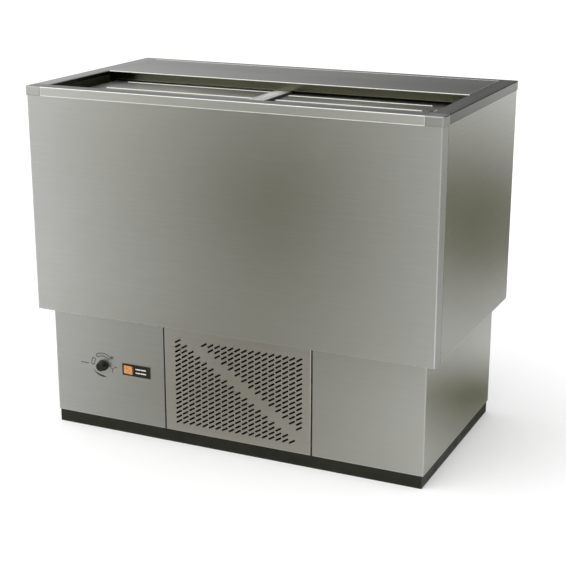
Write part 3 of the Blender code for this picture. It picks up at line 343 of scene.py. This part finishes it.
def amber_lens(name, box, colour):
    """Translucent moulded lens, deeper in colour towards its edges and in a small ring in its middle."""
    rim_width, ring_radius, ring_core, ring_fade = 0.0035, 0.0042, 0.0006, 0.0016
    graph = Graph(name)
    middle = [(low + high) / 2 for low, high in zip(*box)]
    off_x = graph.math("SUBTRACT", graph.axis(X), middle[X])
    off_z = graph.math("SUBTRACT", graph.axis(Z), middle[Z])
    squared = graph.math("ADD", graph.times(off_x, off_x), graph.times(off_z, off_z))
    away = graph.math("SQRT", squared)
    off_ring = graph.math("ABSOLUTE", graph.math("SUBTRACT", away, ring_radius))
    ring = graph.ramp(off_ring, ring_core, ring_fade, 0.5, 0.0)
    rim = graph.near_edges(box, rim_width)
    swirl = graph.noise(260.0, 4)
    tone = graph.mix(graph.ramp(swirl, 0.35, 0.7), shade(colour, 0.9), shade(colour, 1.15))
    tone = graph.mix(graph.times(rim, 0.55), tone, (*AMBER_RIM, 1))
    tone = graph.mix(ring, tone, (*AMBER_RING, 1))
    rough = graph.ramp(swirl, 0.3, 0.7, 0.22, 0.34)
    normal = graph.bump(swirl, 0.00006, 0.35)
    moulding = {"Subsurface_Weight": 0.25, "Subsurface_Scale": 0.003, "Coat_Weight": 0.3}
    return graph.finish(tone, rough, 0.0, normal, **moulding)


def ink(name, colour, worn):
    """Screen-printed ink, thin in places and rubbed through in small spots."""
    graph = Graph(name)
    thin = graph.patches(700.0, 4, 0.40, 0.75, rough=0.7)
    tone = graph.mix(graph.times(thin, 0.35), (*colour, 1), (*worn, 1))
    rough = graph.ramp(thin, 0, 1, 0.45, 0.6)
    return graph.finish(tone, rough, 0.0, graph.bump(thin, 0.00002, 0.3))


STEEL = (0.57, 0.57, 0.56)
WARM_STEEL = (0.60, 0.58, 0.557)
RIM_STEEL = (0.50, 0.505, 0.485)
TANK_STEEL = (0.54, 0.54, 0.50)
# Lighter than the lid's steel: a painted highlight along the ribs
RIB_HIGHLIGHT_STEEL = (0.80, 0.80, 0.77)
RETURN_GREY = (0.305, 0.305, 0.292)
SHELF_STEEL = (0.57, 0.577, 0.538)
ZINC = (0.50, 0.52, 0.53)
OLIVE_BLACK = (0.013, 0.014, 0.007)
BLACK = (0.014, 0.014, 0.013)
WHITE = (0.74, 0.745, 0.73)
COPPER = (0.78, 0.41, 0.26)
COPPER_STAIN = (0.33, 0.16, 0.10)
ALUMINIUM = (0.72, 0.73, 0.74)
ALUMINIUM_STAIN = (0.45, 0.45, 0.44)
SCREW_ZINC = (0.30, 0.30, 0.28)
SCREW_STAIN = (0.16, 0.15, 0.12)
FOAM_YELLOW = (0.82, 0.74, 0.50)
AMBER = (0.64, 0.29, 0.095)
AMBER_RIM = (0.42, 0.16, 0.04)
AMBER_RING = (0.45, 0.17, 0.04)
INK_BLACK = (0.030, 0.031, 0.022)
INK_BLACK_WORN = (0.12, 0.12, 0.10)
INK_WHITE = (0.78, 0.78, 0.74)
INK_WHITE_WORN = (0.35, 0.35, 0.33)

# Bloom and dust, dark joints, and the painted shade on the top of the foam. The warm tint multiplies a
# colour.
WARM_TINT = (0.97, 0.97, 0.90)
JOINT_DARK = (0.02, 0.02, 0.015)
ZINC_BLOOM = (0.72, 0.73, 0.72)
LIGHT_DUST = (0.42, 0.41, 0.38)
BROWN_DUST = (0.36, 0.34, 0.30)
FOAM_TOP_SHADE = (0.012, 0.012, 0.009)
RUBBER_BLOOM = (0.16, 0.16, 0.15)

# The sides of folds and the groove that little light reaches
FOLD_SHADE = (0.05, 0.05, 0.04)
RIM_SHADE = (0.05, 0.05, 0.035)
FASCIA_SHADE = (0.125, 0.125, 0.085)
FASCIA_END_SHADE = (0.022, 0.022, 0.010)
LID_GROOVE_SHADE = (0.03, 0.03, 0.02)

# How each sheet is drawn, where it differs from BRUSHED_USUAL. Brightness multiplies its steel's colour:
# painted light and shade that make the same steel lighter or darker part by part. Edge above 1 paints a
# highlight along its edges, and below 1 paints shade there.
BRUSHED_USUAL = {
    "steel": STEEL,
    "brightness": 1.0,
    "grain": X,
    "roughness": 0.31,
    "wear": 0.3,
    "edge": 1.3,
}
BRUSHED = {
    "front_panel": {"roughness": 0.30, "wear": 0.35, "edge": 1.1},
    "side_panel_left": {"grain": Y, "roughness": 0.30, "wear": 0.35, "joint": 0.9},
    "side_panel_right": {"grain": Y, "roughness": 0.30, "wear": 0.35, "joint": 0.9},
    "control_panel": {"brightness": 0.92},
    "grille_panel": {"steel": WARM_STEEL, "brightness": 0.95, "roughness": 0.33},
    "right_front_panel": {"brightness": 0.97},
    "lower_side_left": {"grain": Y},
    "lower_side_right": {"grain": Y},
    "rear_shelf": {
        "steel": SHELF_STEEL, "brightness": 0.71, "roughness": 0.24, "wear": 0.5, "edge": 1.8, "hem": 0.35,
    },
    "lid_left": {"brightness": 0.93, "roughness": 0.30, "wear": 0.8, "edge": 1.6, "hem": 0.5},
    # The grip is painted much lighter than the lid: a painted highlight on its sloped face
    "lid_left_grip": {"brightness": 1.62, "grain": Y, "roughness": 0.42, "wear": 0.2, "edge": 1.0},
    "lid_right": {"brightness": 0.93, "roughness": 0.30, "wear": 0.8},
    "inner_tank": {"steel": TANK_STEEL, "roughness": 0.27, "wear": 0.4},
    "rim_front": {
        "steel": RIM_STEEL, "brightness": 1.2, "roughness": 0.48, "edge": 1.65, "hem": 0.6, "joint": 0.6,
    },
    "rim_rear": {"steel": RIM_STEEL, "roughness": 0.24, "wear": 0.2, "edge": 1.5, "joint": 0.8},
    "rim_left": {"steel": RIM_STEEL, "brightness": 0.85, "grain": Y, "roughness": 0.26, "joint": 0.8},
    "rim_right": {
        "steel": RIM_STEEL, "brightness": 0.46, "grain": Y, "roughness": 0.28, "edge": 0.3, "joint": 0.8,
    },
    "rim_corner_front_left": {"steel": RIM_STEEL, "brightness": 1.05, "roughness": 0.40, "edge": 0.6},
    "rim_corner_front_right": {"steel": RIM_STEEL, "brightness": 0.95, "roughness": 0.30, "edge": 0.8},
    "rim_corner_rear_left": {"steel": RIM_STEEL, "brightness": 0.9, "roughness": 0.26},
    "rim_corner_rear_right": {"steel": RIM_STEEL, "brightness": 0.55, "roughness": 0.28, "edge": 0.4},
}
# The folds whose inner sides hardly any light reaches
SHADED_FOLDS = ("control_panel", "grille_panel", "right_front_panel")
# The share of its own brightness that the flat top of each of these keeps: painted shade on the top face
RIM_TOP_SHADES = {"rim_front": 0.42, "rim_corner_front_left": 0.55}
GALVANISED = ("back_panel", "lower_back_panel", "base_tray", "underside_pan", "fan_shroud")
PLASTIC = {
    "black_plastic": (
        OLIVE_BLACK,
        (
            "plinth_front",
            "plinth_left",
            "plinth_rear",
            "plinth_right",
            "track_front",
            "track_rear",
            "breaker_left",
            "breaker_right",
            "thermostat_knob",
            "thermostat_body",
            "switch_frame",
            "cable_gland",
            "compressor_terminal_cover",
            "drain_cap",
        ),
    ),
    "white_plastic": (WHITE, ("junction_box", "drain_pipe", "shelf_insulation")),
}
PAINTED = ("compressor", "fan_motor", "condenser")
COPPERS = (
    "evaporator_coil",
    "discharge_pipe",
    "suction_pipe",
    "liquid_pipe",
    "capillary_tube",
    "filter_drier",
)


def dress(node, material):
    """A CAD node keeps its mesh and takes a new material."""
    mesh = frame["nodes"][node].data
    mesh.materials.clear()
    mesh.materials.append(material)


def shaded_regions(node, colour):
    """The parts of a sheet painted darker as shade, such as the inner sides of folds and the flat tops of the
    rim. Some of them also stay duller than the rest.

    Each region is its limits, its colour and, where it has one, the share of the mirror look that it loses.
    """
    low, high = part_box(node)
    if node in SHADED_FOLDS:
        skin = 0.0005
        return ((((Y, low.y + skin, 1),), FOLD_SHADE),)
    if node == "front_panel":
        # The side returns of the front panel: painted shade, a flat darker grey with most of the mirror look
        # taken off
        skin, end_skin, dull = 0.0016, 0.0006, 0.85
        returned = (Y, low.y + skin, 1)
        return (
            ((returned, (X, high.x - end_skin, 1)), RETURN_GREY, dull),
            ((returned, (X, low.x + end_skin, -1)), RETURN_GREY, dull),
        )
    if node == "rear_shelf":
        skin, top_skin, left_end, left_fade = 0.0014, 0.0022, 0.085, 0.02
        fascia = ((Y, low.y + skin, -1), (Z, high.z - top_skin, -1))
        return (
            (fascia, FASCIA_SHADE),
            ((*fascia, (X, low.x + left_end, -1, left_fade)), FASCIA_END_SHADE),
        )
    if node == "lid_left":
        # The upper lid's left end is painted darker, as a painted reflection of the dark well wall, and a
        # painted shadow line runs near its rear edge
        below_top, left_end, left_fade, left_shade = 0.0020, 0.055, 0.05, 0.55
        groove_front, groove_back = 0.016, 0.009
        sheet = (Z, high.z - below_top, -1)
        return (
            ((sheet, (X, low.x + left_end, -1, left_fade)), shade(colour, left_shade)[:3]),
            ((sheet, (Y, high.y - groove_front, 1), (Y, high.y - groove_back, -1)), LID_GROOVE_SHADE),
        )
    if node in ("rim_left", "rim_right"):
        skin, top_skin = 0.0013, 0.0015
        inner = (X, high.x - skin, 1) if node == "rim_left" else (X, low.x + skin, -1)
        return (((inner, (Z, high.z - top_skin, -1)), RIM_SHADE),)
    if node in RIM_TOP_SHADES:
        skin = 0.0005
        return ((((Z, high.z - skin, 1),), shade(colour, RIM_TOP_SHADES[node])[:3]),)
    return ()


def dress_cad_nodes():
    for node, own in BRUSHED.items():
        look = {**BRUSHED_USUAL, **own}
        colour = shade(look.pop("steel"), look.pop("brightness"))[:3]
        dress(node, brushed(node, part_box(node), colour, **look, shaded=shaded_regions(node, colour)))
    for node in GALVANISED:
        dress(node, galvanised(node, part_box(node), ZINC))
    for colour, nodes in PLASTIC.values():
        for node in nodes:
            dress(node, plastic(node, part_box(node), colour))
    for node in PAINTED:
        dress(node, painted(node, BLACK))
    for node in COPPERS:
        dress(node, bare_metal(node, COPPER, COPPER_STAIN, roughness=0.30, scale=45.0))
    blades = bare_metal("fan_blades", ALUMINIUM, ALUMINIUM_STAIN, roughness=0.34, scale=30.0, grain=Z)
    dress("fan_blades", blades)
    for end in ("front", "rear"):
        for side in ("left", "right"):
            node = f"compressor_mount_{end}_{side}"
            dress(node, rubber(node, BLACK))
    # The top of the foam is painted black: painted shade where it shows through the gaps at the top of the
    # cabinet
    shade_band = 0.005
    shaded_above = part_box("inner_tank")[1].z - shade_band
    dress("insulation_foam", foam("insulation_foam", FOAM_YELLOW, shaded_above))
    dress("switch_rocker", amber_lens("switch_rocker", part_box("switch_rocker"), AMBER))


# ---------------------------------------------------------------- pieces


def new_piece(name, mesh_data, material, body=CABINET):
    """Makes a mesh piece in place, which moves with a body of the frame."""
    bmesh.ops.recalc_face_normals(mesh_data, faces=mesh_data.faces)
    mesh = bpy.data.meshes.new(name)
    mesh_data.to_mesh(mesh)
    mesh_data.free()
    mesh.shade_smooth()
    mesh.set_sharp_from_angle(angle=math.radians(SHARP_DEGREES))
    mesh.materials.append(material)
    piece = bpy.data.objects.new(name, mesh)
    bpy.context.scene.collection.objects.link(piece)
    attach(piece, body)


def slab(mesh_data, outline, near, far):
    """A closed flat solid: an outline of (x, z) pairs with a front face at y = near and a back at y = far."""
    front = [mesh_data.verts.new((x, near, z)) for x, z in outline]
    back = [mesh_data.verts.new((x, far, z)) for x, z in outline]
    count = len(outline)
    mesh_data.faces.new(front)
    mesh_data.faces.new(back[::-1])
    for i in range(count):
        j = (i + 1) % count
        mesh_data.faces.new((front[i], back[i], back[j], front[j]))


def block(mesh_data, low, high):
    """A closed box between two opposite corners."""
    outline = [(low[0], low[2]), (high[0], low[2]), (high[0], high[2]), (low[0], high[2])]
    slab(mesh_data, outline, low[1], high[1])


def polar(centre, radius, degrees):
    """The (x, z) point at a distance and an angle from a centre."""
    angle = math.radians(degrees)
    return (centre[0] + radius * math.cos(angle), centre[1] + radius * math.sin(angle))


def arc(centre, radius, start, end, steps=18):
    """A run of points along a circle, from one angle in degrees to another."""
    return [polar(centre, radius, start + (end - start) * i / steps) for i in range(steps + 1)]


def ribbon(points, width):
    """The outline of a line of a given width along an open run of (x, z) points."""
    sides = ([], [])
    for i, here in enumerate(points):
        before, after = points[max(i - 1, 0)], points[min(i + 1, len(points) - 1)]
        run = Vector((after[0] - before[0], after[1] - before[1])).normalized()
        for side, sign in zip(sides, (1, -1)):
            side.append((here[0] - sign * run.y * width / 2, here[1] + sign * run.x * width / 2))
    return sides[0] + sides[1][::-1]


def sector_outline(mesh_data, centre, inner, outer, start, end, width, near, far):
    """An outlined sector of a ring: two arcs and two short ends, each a printed line."""
    for radius in (inner, outer):
        slab(mesh_data, ribbon(arc(centre, radius, start, end), width), near, far)
    for degrees in (start, end):
        ends = [polar(centre, inner + width / 2, degrees), polar(centre, outer - width / 2, degrees)]
        slab(mesh_data, ribbon(ends, width), near, far)


def thermostat_print():
    """The scale printed round the knob: an outlined arc, an outlined block, a tapered arc and plain marks."""
    pivot = JOINTS["thermostat_turn"]["pos_m"]
    centre = (pivot[X], pivot[Z])
    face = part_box("control_panel")[0].y
    near, far = face - PRINT, face - PRINT_BACK
    inner, outer, line = 0.0235, 0.0305, 0.0019
    block_outer = outer + 0.0010
    marks = bmesh.new()
    sector_outline(marks, centre, inner, outer, 128, 46, line, near, far)
    sector_outline(marks, centre, inner, block_outer, 181, 147, line, near, far)
    # The tapered arc is widest a little past the middle of its run.
    start, end, steps = 205, 288, 20
    arc_inset, thinnest, bulge = 0.001, 0.0018, 0.0042
    crescent = arc(centre, outer - arc_inset, start, end, steps)
    for i in range(steps, -1, -1):
        swell = math.sin(math.pi * (i / steps) ** 1.5)
        crescent.append(polar(centre, outer - thinnest - bulge * swell, start + (end - start) * i / steps))
    slab(marks, crescent, near, far)
    # Level dashes: one on the left of the knob and two on its right
    dashes = ((-0.062, -0.039), (0.019, 0.023), (0.031, 0.039))
    for x0, x1 in dashes:
        points = [(centre[0] + x0, centre[1]), (centre[0] + x1, centre[1])]
        slab(marks, ribbon(points, line), near, far)
    # Two plain marks for the ends of the scale: a star of three lines, and a fork of three prongs
    star, arm, star_line = (centre[0] + 0.0255, centre[1] + 0.0225), 0.0052, 0.0015
    for degrees in (20, 80, 140):
        ends = [polar(star, arm, degrees), polar(star, arm, degrees + 180)]
        slab(marks, ribbon(ends, star_line), near, far)
    fork, root, fork_line = (centre[0] + 0.0265, centre[1] - 0.0060), 0.0002, 0.0017
    for degrees, length in ((-90, 0.0085), (35, 0.0050), (145, 0.0050)):
        ends = [polar(fork, root, degrees), polar(fork, length, degrees)]
        slab(marks, ribbon(ends, fork_line), near, far)
    new_piece("thermostat_print", marks, ink("printed_black", INK_BLACK, INK_BLACK_WORN))


def switch_print():
    """Two rows of plain white bars on the right of the switch frame, in place of lettering."""
    low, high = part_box("switch_frame")
    near, far = low.y - PRINT, low.y - PRINT_BACK
    inset, height, gap = 0.0365, 0.0030, 0.0011
    middle = (low.z + high.z) / 2
    # Each row is how far it is above the middle, and the lengths of its bars.
    rows = ((0.0046, (0.0030, 0.0100, 0.0130)), (-0.0046, (0.0030, 0.0080, 0.0150)))
    bars = bmesh.new()
    for rise, lengths in rows:
        x = low.x + inset
        for length in lengths:
            points = [(x, middle + rise), (x + length, middle + rise)]
            slab(bars, ribbon(points, height), near, far)
            x += length + gap
    new_piece("switch_print", bars, ink("printed_white", INK_WHITE, INK_WHITE_WORN))


def hex_screw(mesh_data, at, size):
    """A sheet-metal screw: a flanged washer with a chamfered hexagon on it. Its head looks along +Y."""
    # Each ring is its number of points, then its radius and its height as shares of the size.
    washer = ((24, 1.00, 0.00), (24, 1.00, 0.08), (24, 0.86, 0.12))
    hexagon = ((6, 0.70, 0.12), (6, 0.70, 0.26), (6, 0.60, 0.31))
    turn = 0.2
    for profile in (washer, hexagon):
        rings = []
        for steps, radius, rise in profile:
            ring = []
            for i in range(steps):
                angle = 2 * math.pi * i / steps + turn
                point = (
                    at[0] + size * radius * math.cos(angle),
                    at[1] + size * rise,
                    at[2] + size * radius * math.sin(angle),
                )
                ring.append(mesh_data.verts.new(point))
            rings.append(ring)
        mesh_data.faces.new(rings[0])
        mesh_data.faces.new(rings[-1])
        for lower, upper in zip(rings, rings[1:]):
            for i in range(len(lower)):
                j = (i + 1) % len(lower)
                mesh_data.faces.new((lower[i], lower[j], upper[j], upper[i]))


def seam_gaskets():
    """The black foam strips sunk in the two seams of the lower front."""
    black_foam = rubber("seam_gasket", BLACK)
    sunk, depth, end_gap = 0.0012, 0.0024, 0.001
    seams = (
        ("left", "control_panel", "grille_panel"),
        ("right", "grille_panel", "right_front_panel"),
    )
    for side, before, after in seams:
        bottom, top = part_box(before)
        strip = bmesh.new()
        low = (top.x + CONTACT, bottom.y + sunk, bottom.z + end_gap)
        high = (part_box(after)[0].x - CONTACT, bottom.y + depth, top.z - end_gap)
        block(strip, low, high)
        new_piece(f"seam_gasket_{side}", strip, black_foam)


def lid_ribs():
    """Two low stiffening ribs along each lid, painted lighter than the lid as a painted highlight along them.
    """
    upper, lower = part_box("lid_left"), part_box("lid_right")
    grip_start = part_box("lid_left_grip")[0].x
    sheet_top = upper[0].z + LID_SHEET
    half, rise, steps = 0.0045, 0.0011, 8
    from_front, from_rear, roughness = 0.149, 0.030, 0.36
    # The ribs start and end a little inside the ends of each lid's flat.
    upper_run = (upper[0].x + 0.040, grip_start - 0.004)
    lower_run = (lower[0].x + 0.010, lower[1].x - 0.060)
    for body, low, high, top, (start, end) in (
        ("lid_left", *upper, sheet_top, upper_run),
        ("lid_right", *lower, lower[1].z, lower_run),
    ):
        ribs = bmesh.new()
        base = top + CONTACT
        for middle in (low.y + from_front, high.y - from_rear):
            rings = []
            for x in (start, end):
                angles = [math.pi * i / steps for i in range(steps + 1)]
                ring = [(x, middle - half * math.cos(a), base + rise * math.sin(a)) for a in angles]
                rings.append([ribs.verts.new(point) for point in ring])
            count = len(rings[0])
            ribs.faces.new(rings[0])
            ribs.faces.new(rings[1][::-1])
            for i in range(count):
                j = (i + 1) % count
                ribs.faces.new((rings[0][i], rings[1][i], rings[1][j], rings[0][j]))
        name = f"{body}_ribs"
        extent = (Vector((start, low.y, base)), Vector((end, high.y, base + rise)))
        new_piece(name, ribs, brushed(name, extent, RIB_HIGHLIGHT_STEEL, roughness), body=body)


def lid_end_shadow():
    """A black strip down the inner end of the upper lid, drawn with the rubber look: a painted shadow at the
    step of its end. It stays above the ribs of the lower lid.
    """
    low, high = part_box("lid_left")
    thick, proud, front_gap, rear_gap = 0.0022, 0.0003, 0.003, 0.014
    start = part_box("lid_left_grip")[1].x + CONTACT
    dark_strip = bmesh.new()
    block(dark_strip, (start, low.y + front_gap, low.z), (start + thick, high.y - rear_gap, high.z + proud))
    new_piece("lid_left_wiper", dark_strip, rubber("lid_left_wiper", BLACK), body="lid_left")


def back_screws():
    """The screws round the two rear panels."""
    zinc_plate = bare_metal("screw_zinc", SCREW_ZINC, SCREW_STAIN, roughness=0.34, scale=300.0)
    size, stand_off = 0.0062, CONTACT / 5
    rows, columns = 3, 5
    # The top row of the upper panel sits lower, clear of the rim.
    top_drop = 0.020
    for node, inset in (("back_panel", 0.014), ("lower_back_panel", 0.011)):
        low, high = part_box(node)
        screws = bmesh.new()
        for row in range(rows):
            for column in range(columns):
                if 0 < row < rows - 1 and 0 < column < columns - 1:
                    continue
                x = low.x + inset + (high.x - low.x - 2 * inset) * column / (columns - 1)
                z = low.z + inset + (high.z - low.z - 2 * inset) * row / (rows - 1)
                if node == "back_panel" and row == rows - 1:
                    z -= top_drop
                hex_screw(screws, (x, high.y + stand_off, z), size)
        new_piece(f"{node}_screws", screws, zinc_plate)


def drain_strainer():
    """A domed, slotted strainer that sits in the tank floor over the drain."""
    low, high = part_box("drain_pipe")
    centre = ((low.x + high.x) / 2, (low.y + high.y) / 2)
    radius, thick, height, roughness = 0.0165, 0.0008, 0.003, 0.25
    base = high.z + CONTACT
    steps, slots, slotted_band = 48, 6, 2
    slot_steps = steps // slots
    # Each ring is its radius and how far its underside is above the base.
    profile = (
        (radius, 0.0),
        (radius, 0.0009),
        (radius * 0.80, 0.0016),
        (radius * 0.45, 0.0021),
        (radius * 0.2, 0.0023),
    )
    mesh_data = bmesh.new()
    tops, undersides = [], []
    for ring_radius, rise in profile:
        for rings, z in ((tops, base + rise + thick), (undersides, base + rise)):
            ring = []
            for i in range(steps):
                angle = 2 * math.pi * i / steps
                x = centre[0] + ring_radius * math.cos(angle)
                y = centre[1] + ring_radius * math.sin(angle)
                ring.append(mesh_data.verts.new((x, y, z)))
            rings.append(ring)

    def face(*corners):
        mesh_data.faces.new(corners)

    for outer in range(len(profile) - 1):
        inner = outer + 1
        for i in range(steps):
            j = (i + 1) % steps
            turn = i % slot_steps
            if outer == slotted_band and turn < slot_steps // 2:
                face(tops[outer][i], tops[outer][j], undersides[outer][j], undersides[outer][i])
                face(tops[inner][j], tops[inner][i], undersides[inner][i], undersides[inner][j])
                for side, is_end in ((i, turn == 0), (j, turn == slot_steps // 2 - 1)):
                    if is_end:
                        outside = (tops[outer][side], undersides[outer][side])
                        inside = (undersides[inner][side], tops[inner][side])
                        face(*outside, *inside)
                continue
            face(tops[outer][i], tops[outer][j], tops[inner][j], tops[inner][i])
            face(undersides[outer][j], undersides[outer][i], undersides[inner][i], undersides[inner][j])
    for i in range(steps):
        j = (i + 1) % steps
        face(tops[0][j], tops[0][i], undersides[0][i], undersides[0][j])
    face(*tops[-1])
    face(*undersides[-1][::-1])
    extent = (
        Vector((centre[0] - radius, centre[1] - radius, base)),
        Vector((centre[0] + radius, centre[1] + radius, base + height)),
    )
    strainer_steel = brushed("drain_strainer", extent, STEEL, roughness)
    new_piece("drain_strainer", mesh_data, strainer_steel)


# ---------------------------------------------------------------- studio

WORLD_STRENGTH = 0.85
# What the camera sees directly of the world
HORIZON_STRENGTH = 1.1
# Reflections see the world dimmed towards this direction. The dimming starts at the cosine DIM_FROM from it,
# and is full at the cosine DIM_TO, where the share DIM_LEAST of the light is left.
DIM_TOWARD = (0.09, 1.0, 0.14)
DIM_FROM, DIM_TO, DIM_LEAST = 0.70, 0.96, 0.12

FLOOR_REACH = 60.0
FLOOR_WHITE = (0.90, 0.90, 0.90, 1)
FLOOR_WHITER = (0.92, 0.92, 0.92, 1)
FLOOR_ROUGHNESS = 0.9
# How much the floor is lifted, for what the camera sees directly
FLOOR_LIFT = 0.13
FLAG_DARK = (0.12, 0.12, 0.06, 1)

SUN_STRENGTH = 1.25
SUN_SPREAD_DEGREES = 70
SUN_FROM = (-0.45, -0.55, 1.0)

# The camera is fitted to the cabinet's corners in the photograph.
SENSOR_MM = 36.0
LENS_MM = 85.0
CAMERA_AT = (1.3096, -2.7900, 1.2785)
CAMERA_TURN_DEGREES = 24.789
CAMERA_PITCH_DEGREES = 16.863


def stage_sheet(name, corners, material):
    """A flat sheet that belongs to the studio and not to the object."""
    mesh = bpy.data.meshes.new(name)
    mesh.from_pydata(corners, [], [tuple(range(len(corners)))])
    mesh.materials.append(material)
    sheet = bpy.data.objects.new(name, mesh)
    bpy.context.scene.collection.objects.link(sheet)
    return sheet


def floor():
    """A wide white floor, which is lifted a little for rays that come straight from the camera."""
    graph = Graph("studio_floor")
    tone = graph.mix(graph.patches(1.2, 3, 0.3, 0.7), FLOOR_WHITE, FLOOR_WHITER)
    material = graph.finish(tone, FLOOR_ROUGHNESS, Emission_Color=(1, 1, 1, 1))
    seen = graph.nodes.new("ShaderNodeLightPath").outputs["Is Camera Ray"]
    graph.feed(graph.shader.inputs["Emission Strength"], graph.times(seen, FLOOR_LIFT))
    reach = FLOOR_REACH
    corners = [(-reach, -reach, 0), (reach, -reach, 0), (reach, reach, 0), (-reach, reach, 0)]
    stage_sheet("studio_floor", corners, material)


def dark_flag(name, centre, across, up, strength):
    """A soft-edged dark card that only reflections see. Across and up are its half sizes, as vectors.

    It is darkest in its middle and fades evenly to clear at its edge. At a strength above 1 the middle is
    fully dark over a wider patch.
    """
    material = bpy.data.materials.new(name)
    material.use_nodes = True
    nodes, links = material.node_tree.nodes, material.node_tree.links
    nodes.clear()
    distance = nodes.new("ShaderNodeVectorMath")
    distance.operation = "LENGTH"
    links.new(nodes.new("ShaderNodeTexCoord").outputs["Object"], distance.inputs[0])
    fade = nodes.new("ShaderNodeMapRange")
    links.new(distance.outputs["Value"], fade.inputs["Value"])
    fade.inputs["To Min"].default_value = strength
    fade.inputs["To Max"].default_value = 0.0
    clear = nodes.new("ShaderNodeBsdfTransparent")
    dark = nodes.new("ShaderNodeEmission")
    dark.inputs["Color"].default_value = FLAG_DARK
    blend = nodes.new("ShaderNodeMixShader")
    links.new(fade.outputs["Result"], blend.inputs["Fac"])
    links.new(clear.outputs[0], blend.inputs[1])
    links.new(dark.outputs[0], blend.inputs[2])
    links.new(blend.outputs[0], nodes.new("ShaderNodeOutputMaterial").inputs["Surface"])
    flag = stage_sheet(name, [(-1, -1, 0), (1, -1, 0), (1, 1, 0), (-1, 1, 0)], material)
    across, up = Vector(across), Vector(up)
    place = Matrix((across, up, across.cross(up).normalized())).transposed().to_4x4()
    place.translation = centre
    flag.matrix_world = place
    flag.visible_camera = False
    flag.visible_diffuse = False
    flag.visible_shadow = False


def world():
    """Plain white all round. Reflections see it darker low down behind the cabinet, towards its right.

    A view that takes in the horizon sees it as bright as the floor.
    """
    made = bpy.data.worlds.new("studio")
    made.use_nodes = True
    nodes, links = made.node_tree.nodes, made.node_tree.links
    toward = nodes.new("ShaderNodeVectorMath")
    toward.operation = "DOT_PRODUCT"
    links.new(nodes.new("ShaderNodeTexCoord").outputs["Generated"], toward.inputs[0])
    toward.inputs[1].default_value = Vector(DIM_TOWARD).normalized()
    dim = nodes.new("ShaderNodeMapRange")
    links.new(toward.outputs["Value"], dim.inputs["Value"])
    for socket, number in zip(MAP_RANGE_SOCKETS, (DIM_FROM, DIM_TO, 1.0, DIM_LEAST)):
        dim.inputs[socket].default_value = number
    path = nodes.new("ShaderNodeLightPath")
    direct = nodes.new("ShaderNodeMix")
    direct.inputs["A"].default_value = 1.0
    direct.inputs["B"].default_value = HORIZON_STRENGTH / WORLD_STRENGTH
    links.new(path.outputs["Is Camera Ray"], direct.inputs["Factor"])
    strength = nodes.new("ShaderNodeMix")
    links.new(path.outputs["Is Glossy Ray"], strength.inputs["Factor"])
    links.new(direct.outputs["Result"], strength.inputs["A"])
    links.new(dim.outputs["Result"], strength.inputs["B"])
    scaled = nodes.new("ShaderNodeMath")
    scaled.operation = "MULTIPLY"
    scaled.inputs[1].default_value = WORLD_STRENGTH
    links.new(strength.outputs["Result"], scaled.inputs[0])
    links.new(scaled.outputs[0], nodes["Background"].inputs["Strength"])
    nodes["Background"].inputs["Color"].default_value = (1.0, 1.0, 1.0, 1)
    bpy.context.scene.world = made


def soft_sun():
    """One broad, even light from above the front left."""
    light = bpy.data.lights.new("soft_sun", "SUN")
    light.energy = SUN_STRENGTH
    light.angle = math.radians(SUN_SPREAD_DEGREES)
    lamp = bpy.data.objects.new("soft_sun", light)
    lamp.rotation_euler = Vector(SUN_FROM).to_track_quat("Z", "Y").to_euler()
    bpy.context.scene.collection.objects.link(lamp)


def lights():
    """The world, the sun, and the dark cards before the front and beside the right-hand side."""
    world()
    soft_sun()
    dark_flag("flag_front", (-0.106, -0.777, 0.50), (0.985, 0, 0), (0, 0, 1.12), 0.96)
    dark_flag("flag_front_left", (-0.49, -0.774, 0.42), (0.50, 0, 0), (0, 0, 0.36), 0.17)
    dark_flag("flag_front_floor", (-0.2, -0.6, 0.004), (-0.887, -0.651, 0), (-0.385, 0.524, 0), 0.88)
    slope = math.radians(16)
    long_way = Vector((0, math.cos(slope), -math.sin(slope))) * 2.2
    short_way = Vector((0, math.sin(slope), math.cos(slope))) * 0.56
    dark_flag("flag_side", (0.741, 0.837, 0.331), long_way, short_way, 1.2)
    dark_flag("flag_side_low", (0.744, 1.22, 0.06), (0, 0.44, 0), (0, 0, 0.26), 0.52)
    dark_flag("flag_side_floor", (0.585, 0.33, 0.003), (0.33, 0, 0), (0, 0.42, 0), 1.15)
    dark_flag("flag_side_floor_rear", (0.70, 0.85, 0.005), (0.22, 0, 0), (0, 0.42, 0), 0.35)


def camera():
    made = bpy.data.cameras.new("camera")
    made.sensor_width = SENSOR_MM
    made.lens = LENS_MM
    viewer = bpy.data.objects.new("camera", made)
    viewer.location = CAMERA_AT
    turn, pitch = math.radians(CAMERA_TURN_DEGREES), math.radians(CAMERA_PITCH_DEGREES)
    viewer.rotation_euler = (math.pi / 2 - pitch, 0, turn)
    bpy.context.scene.collection.objects.link(viewer)
    bpy.context.scene.camera = viewer


dress_cad_nodes()
thermostat_print()
switch_print()
seam_gaskets()
lid_ribs()
lid_end_shadow()
back_screws()
drain_strainer()
floor()
lights()
camera()
bpy.context.scene.view_settings.view_transform = "Standard"
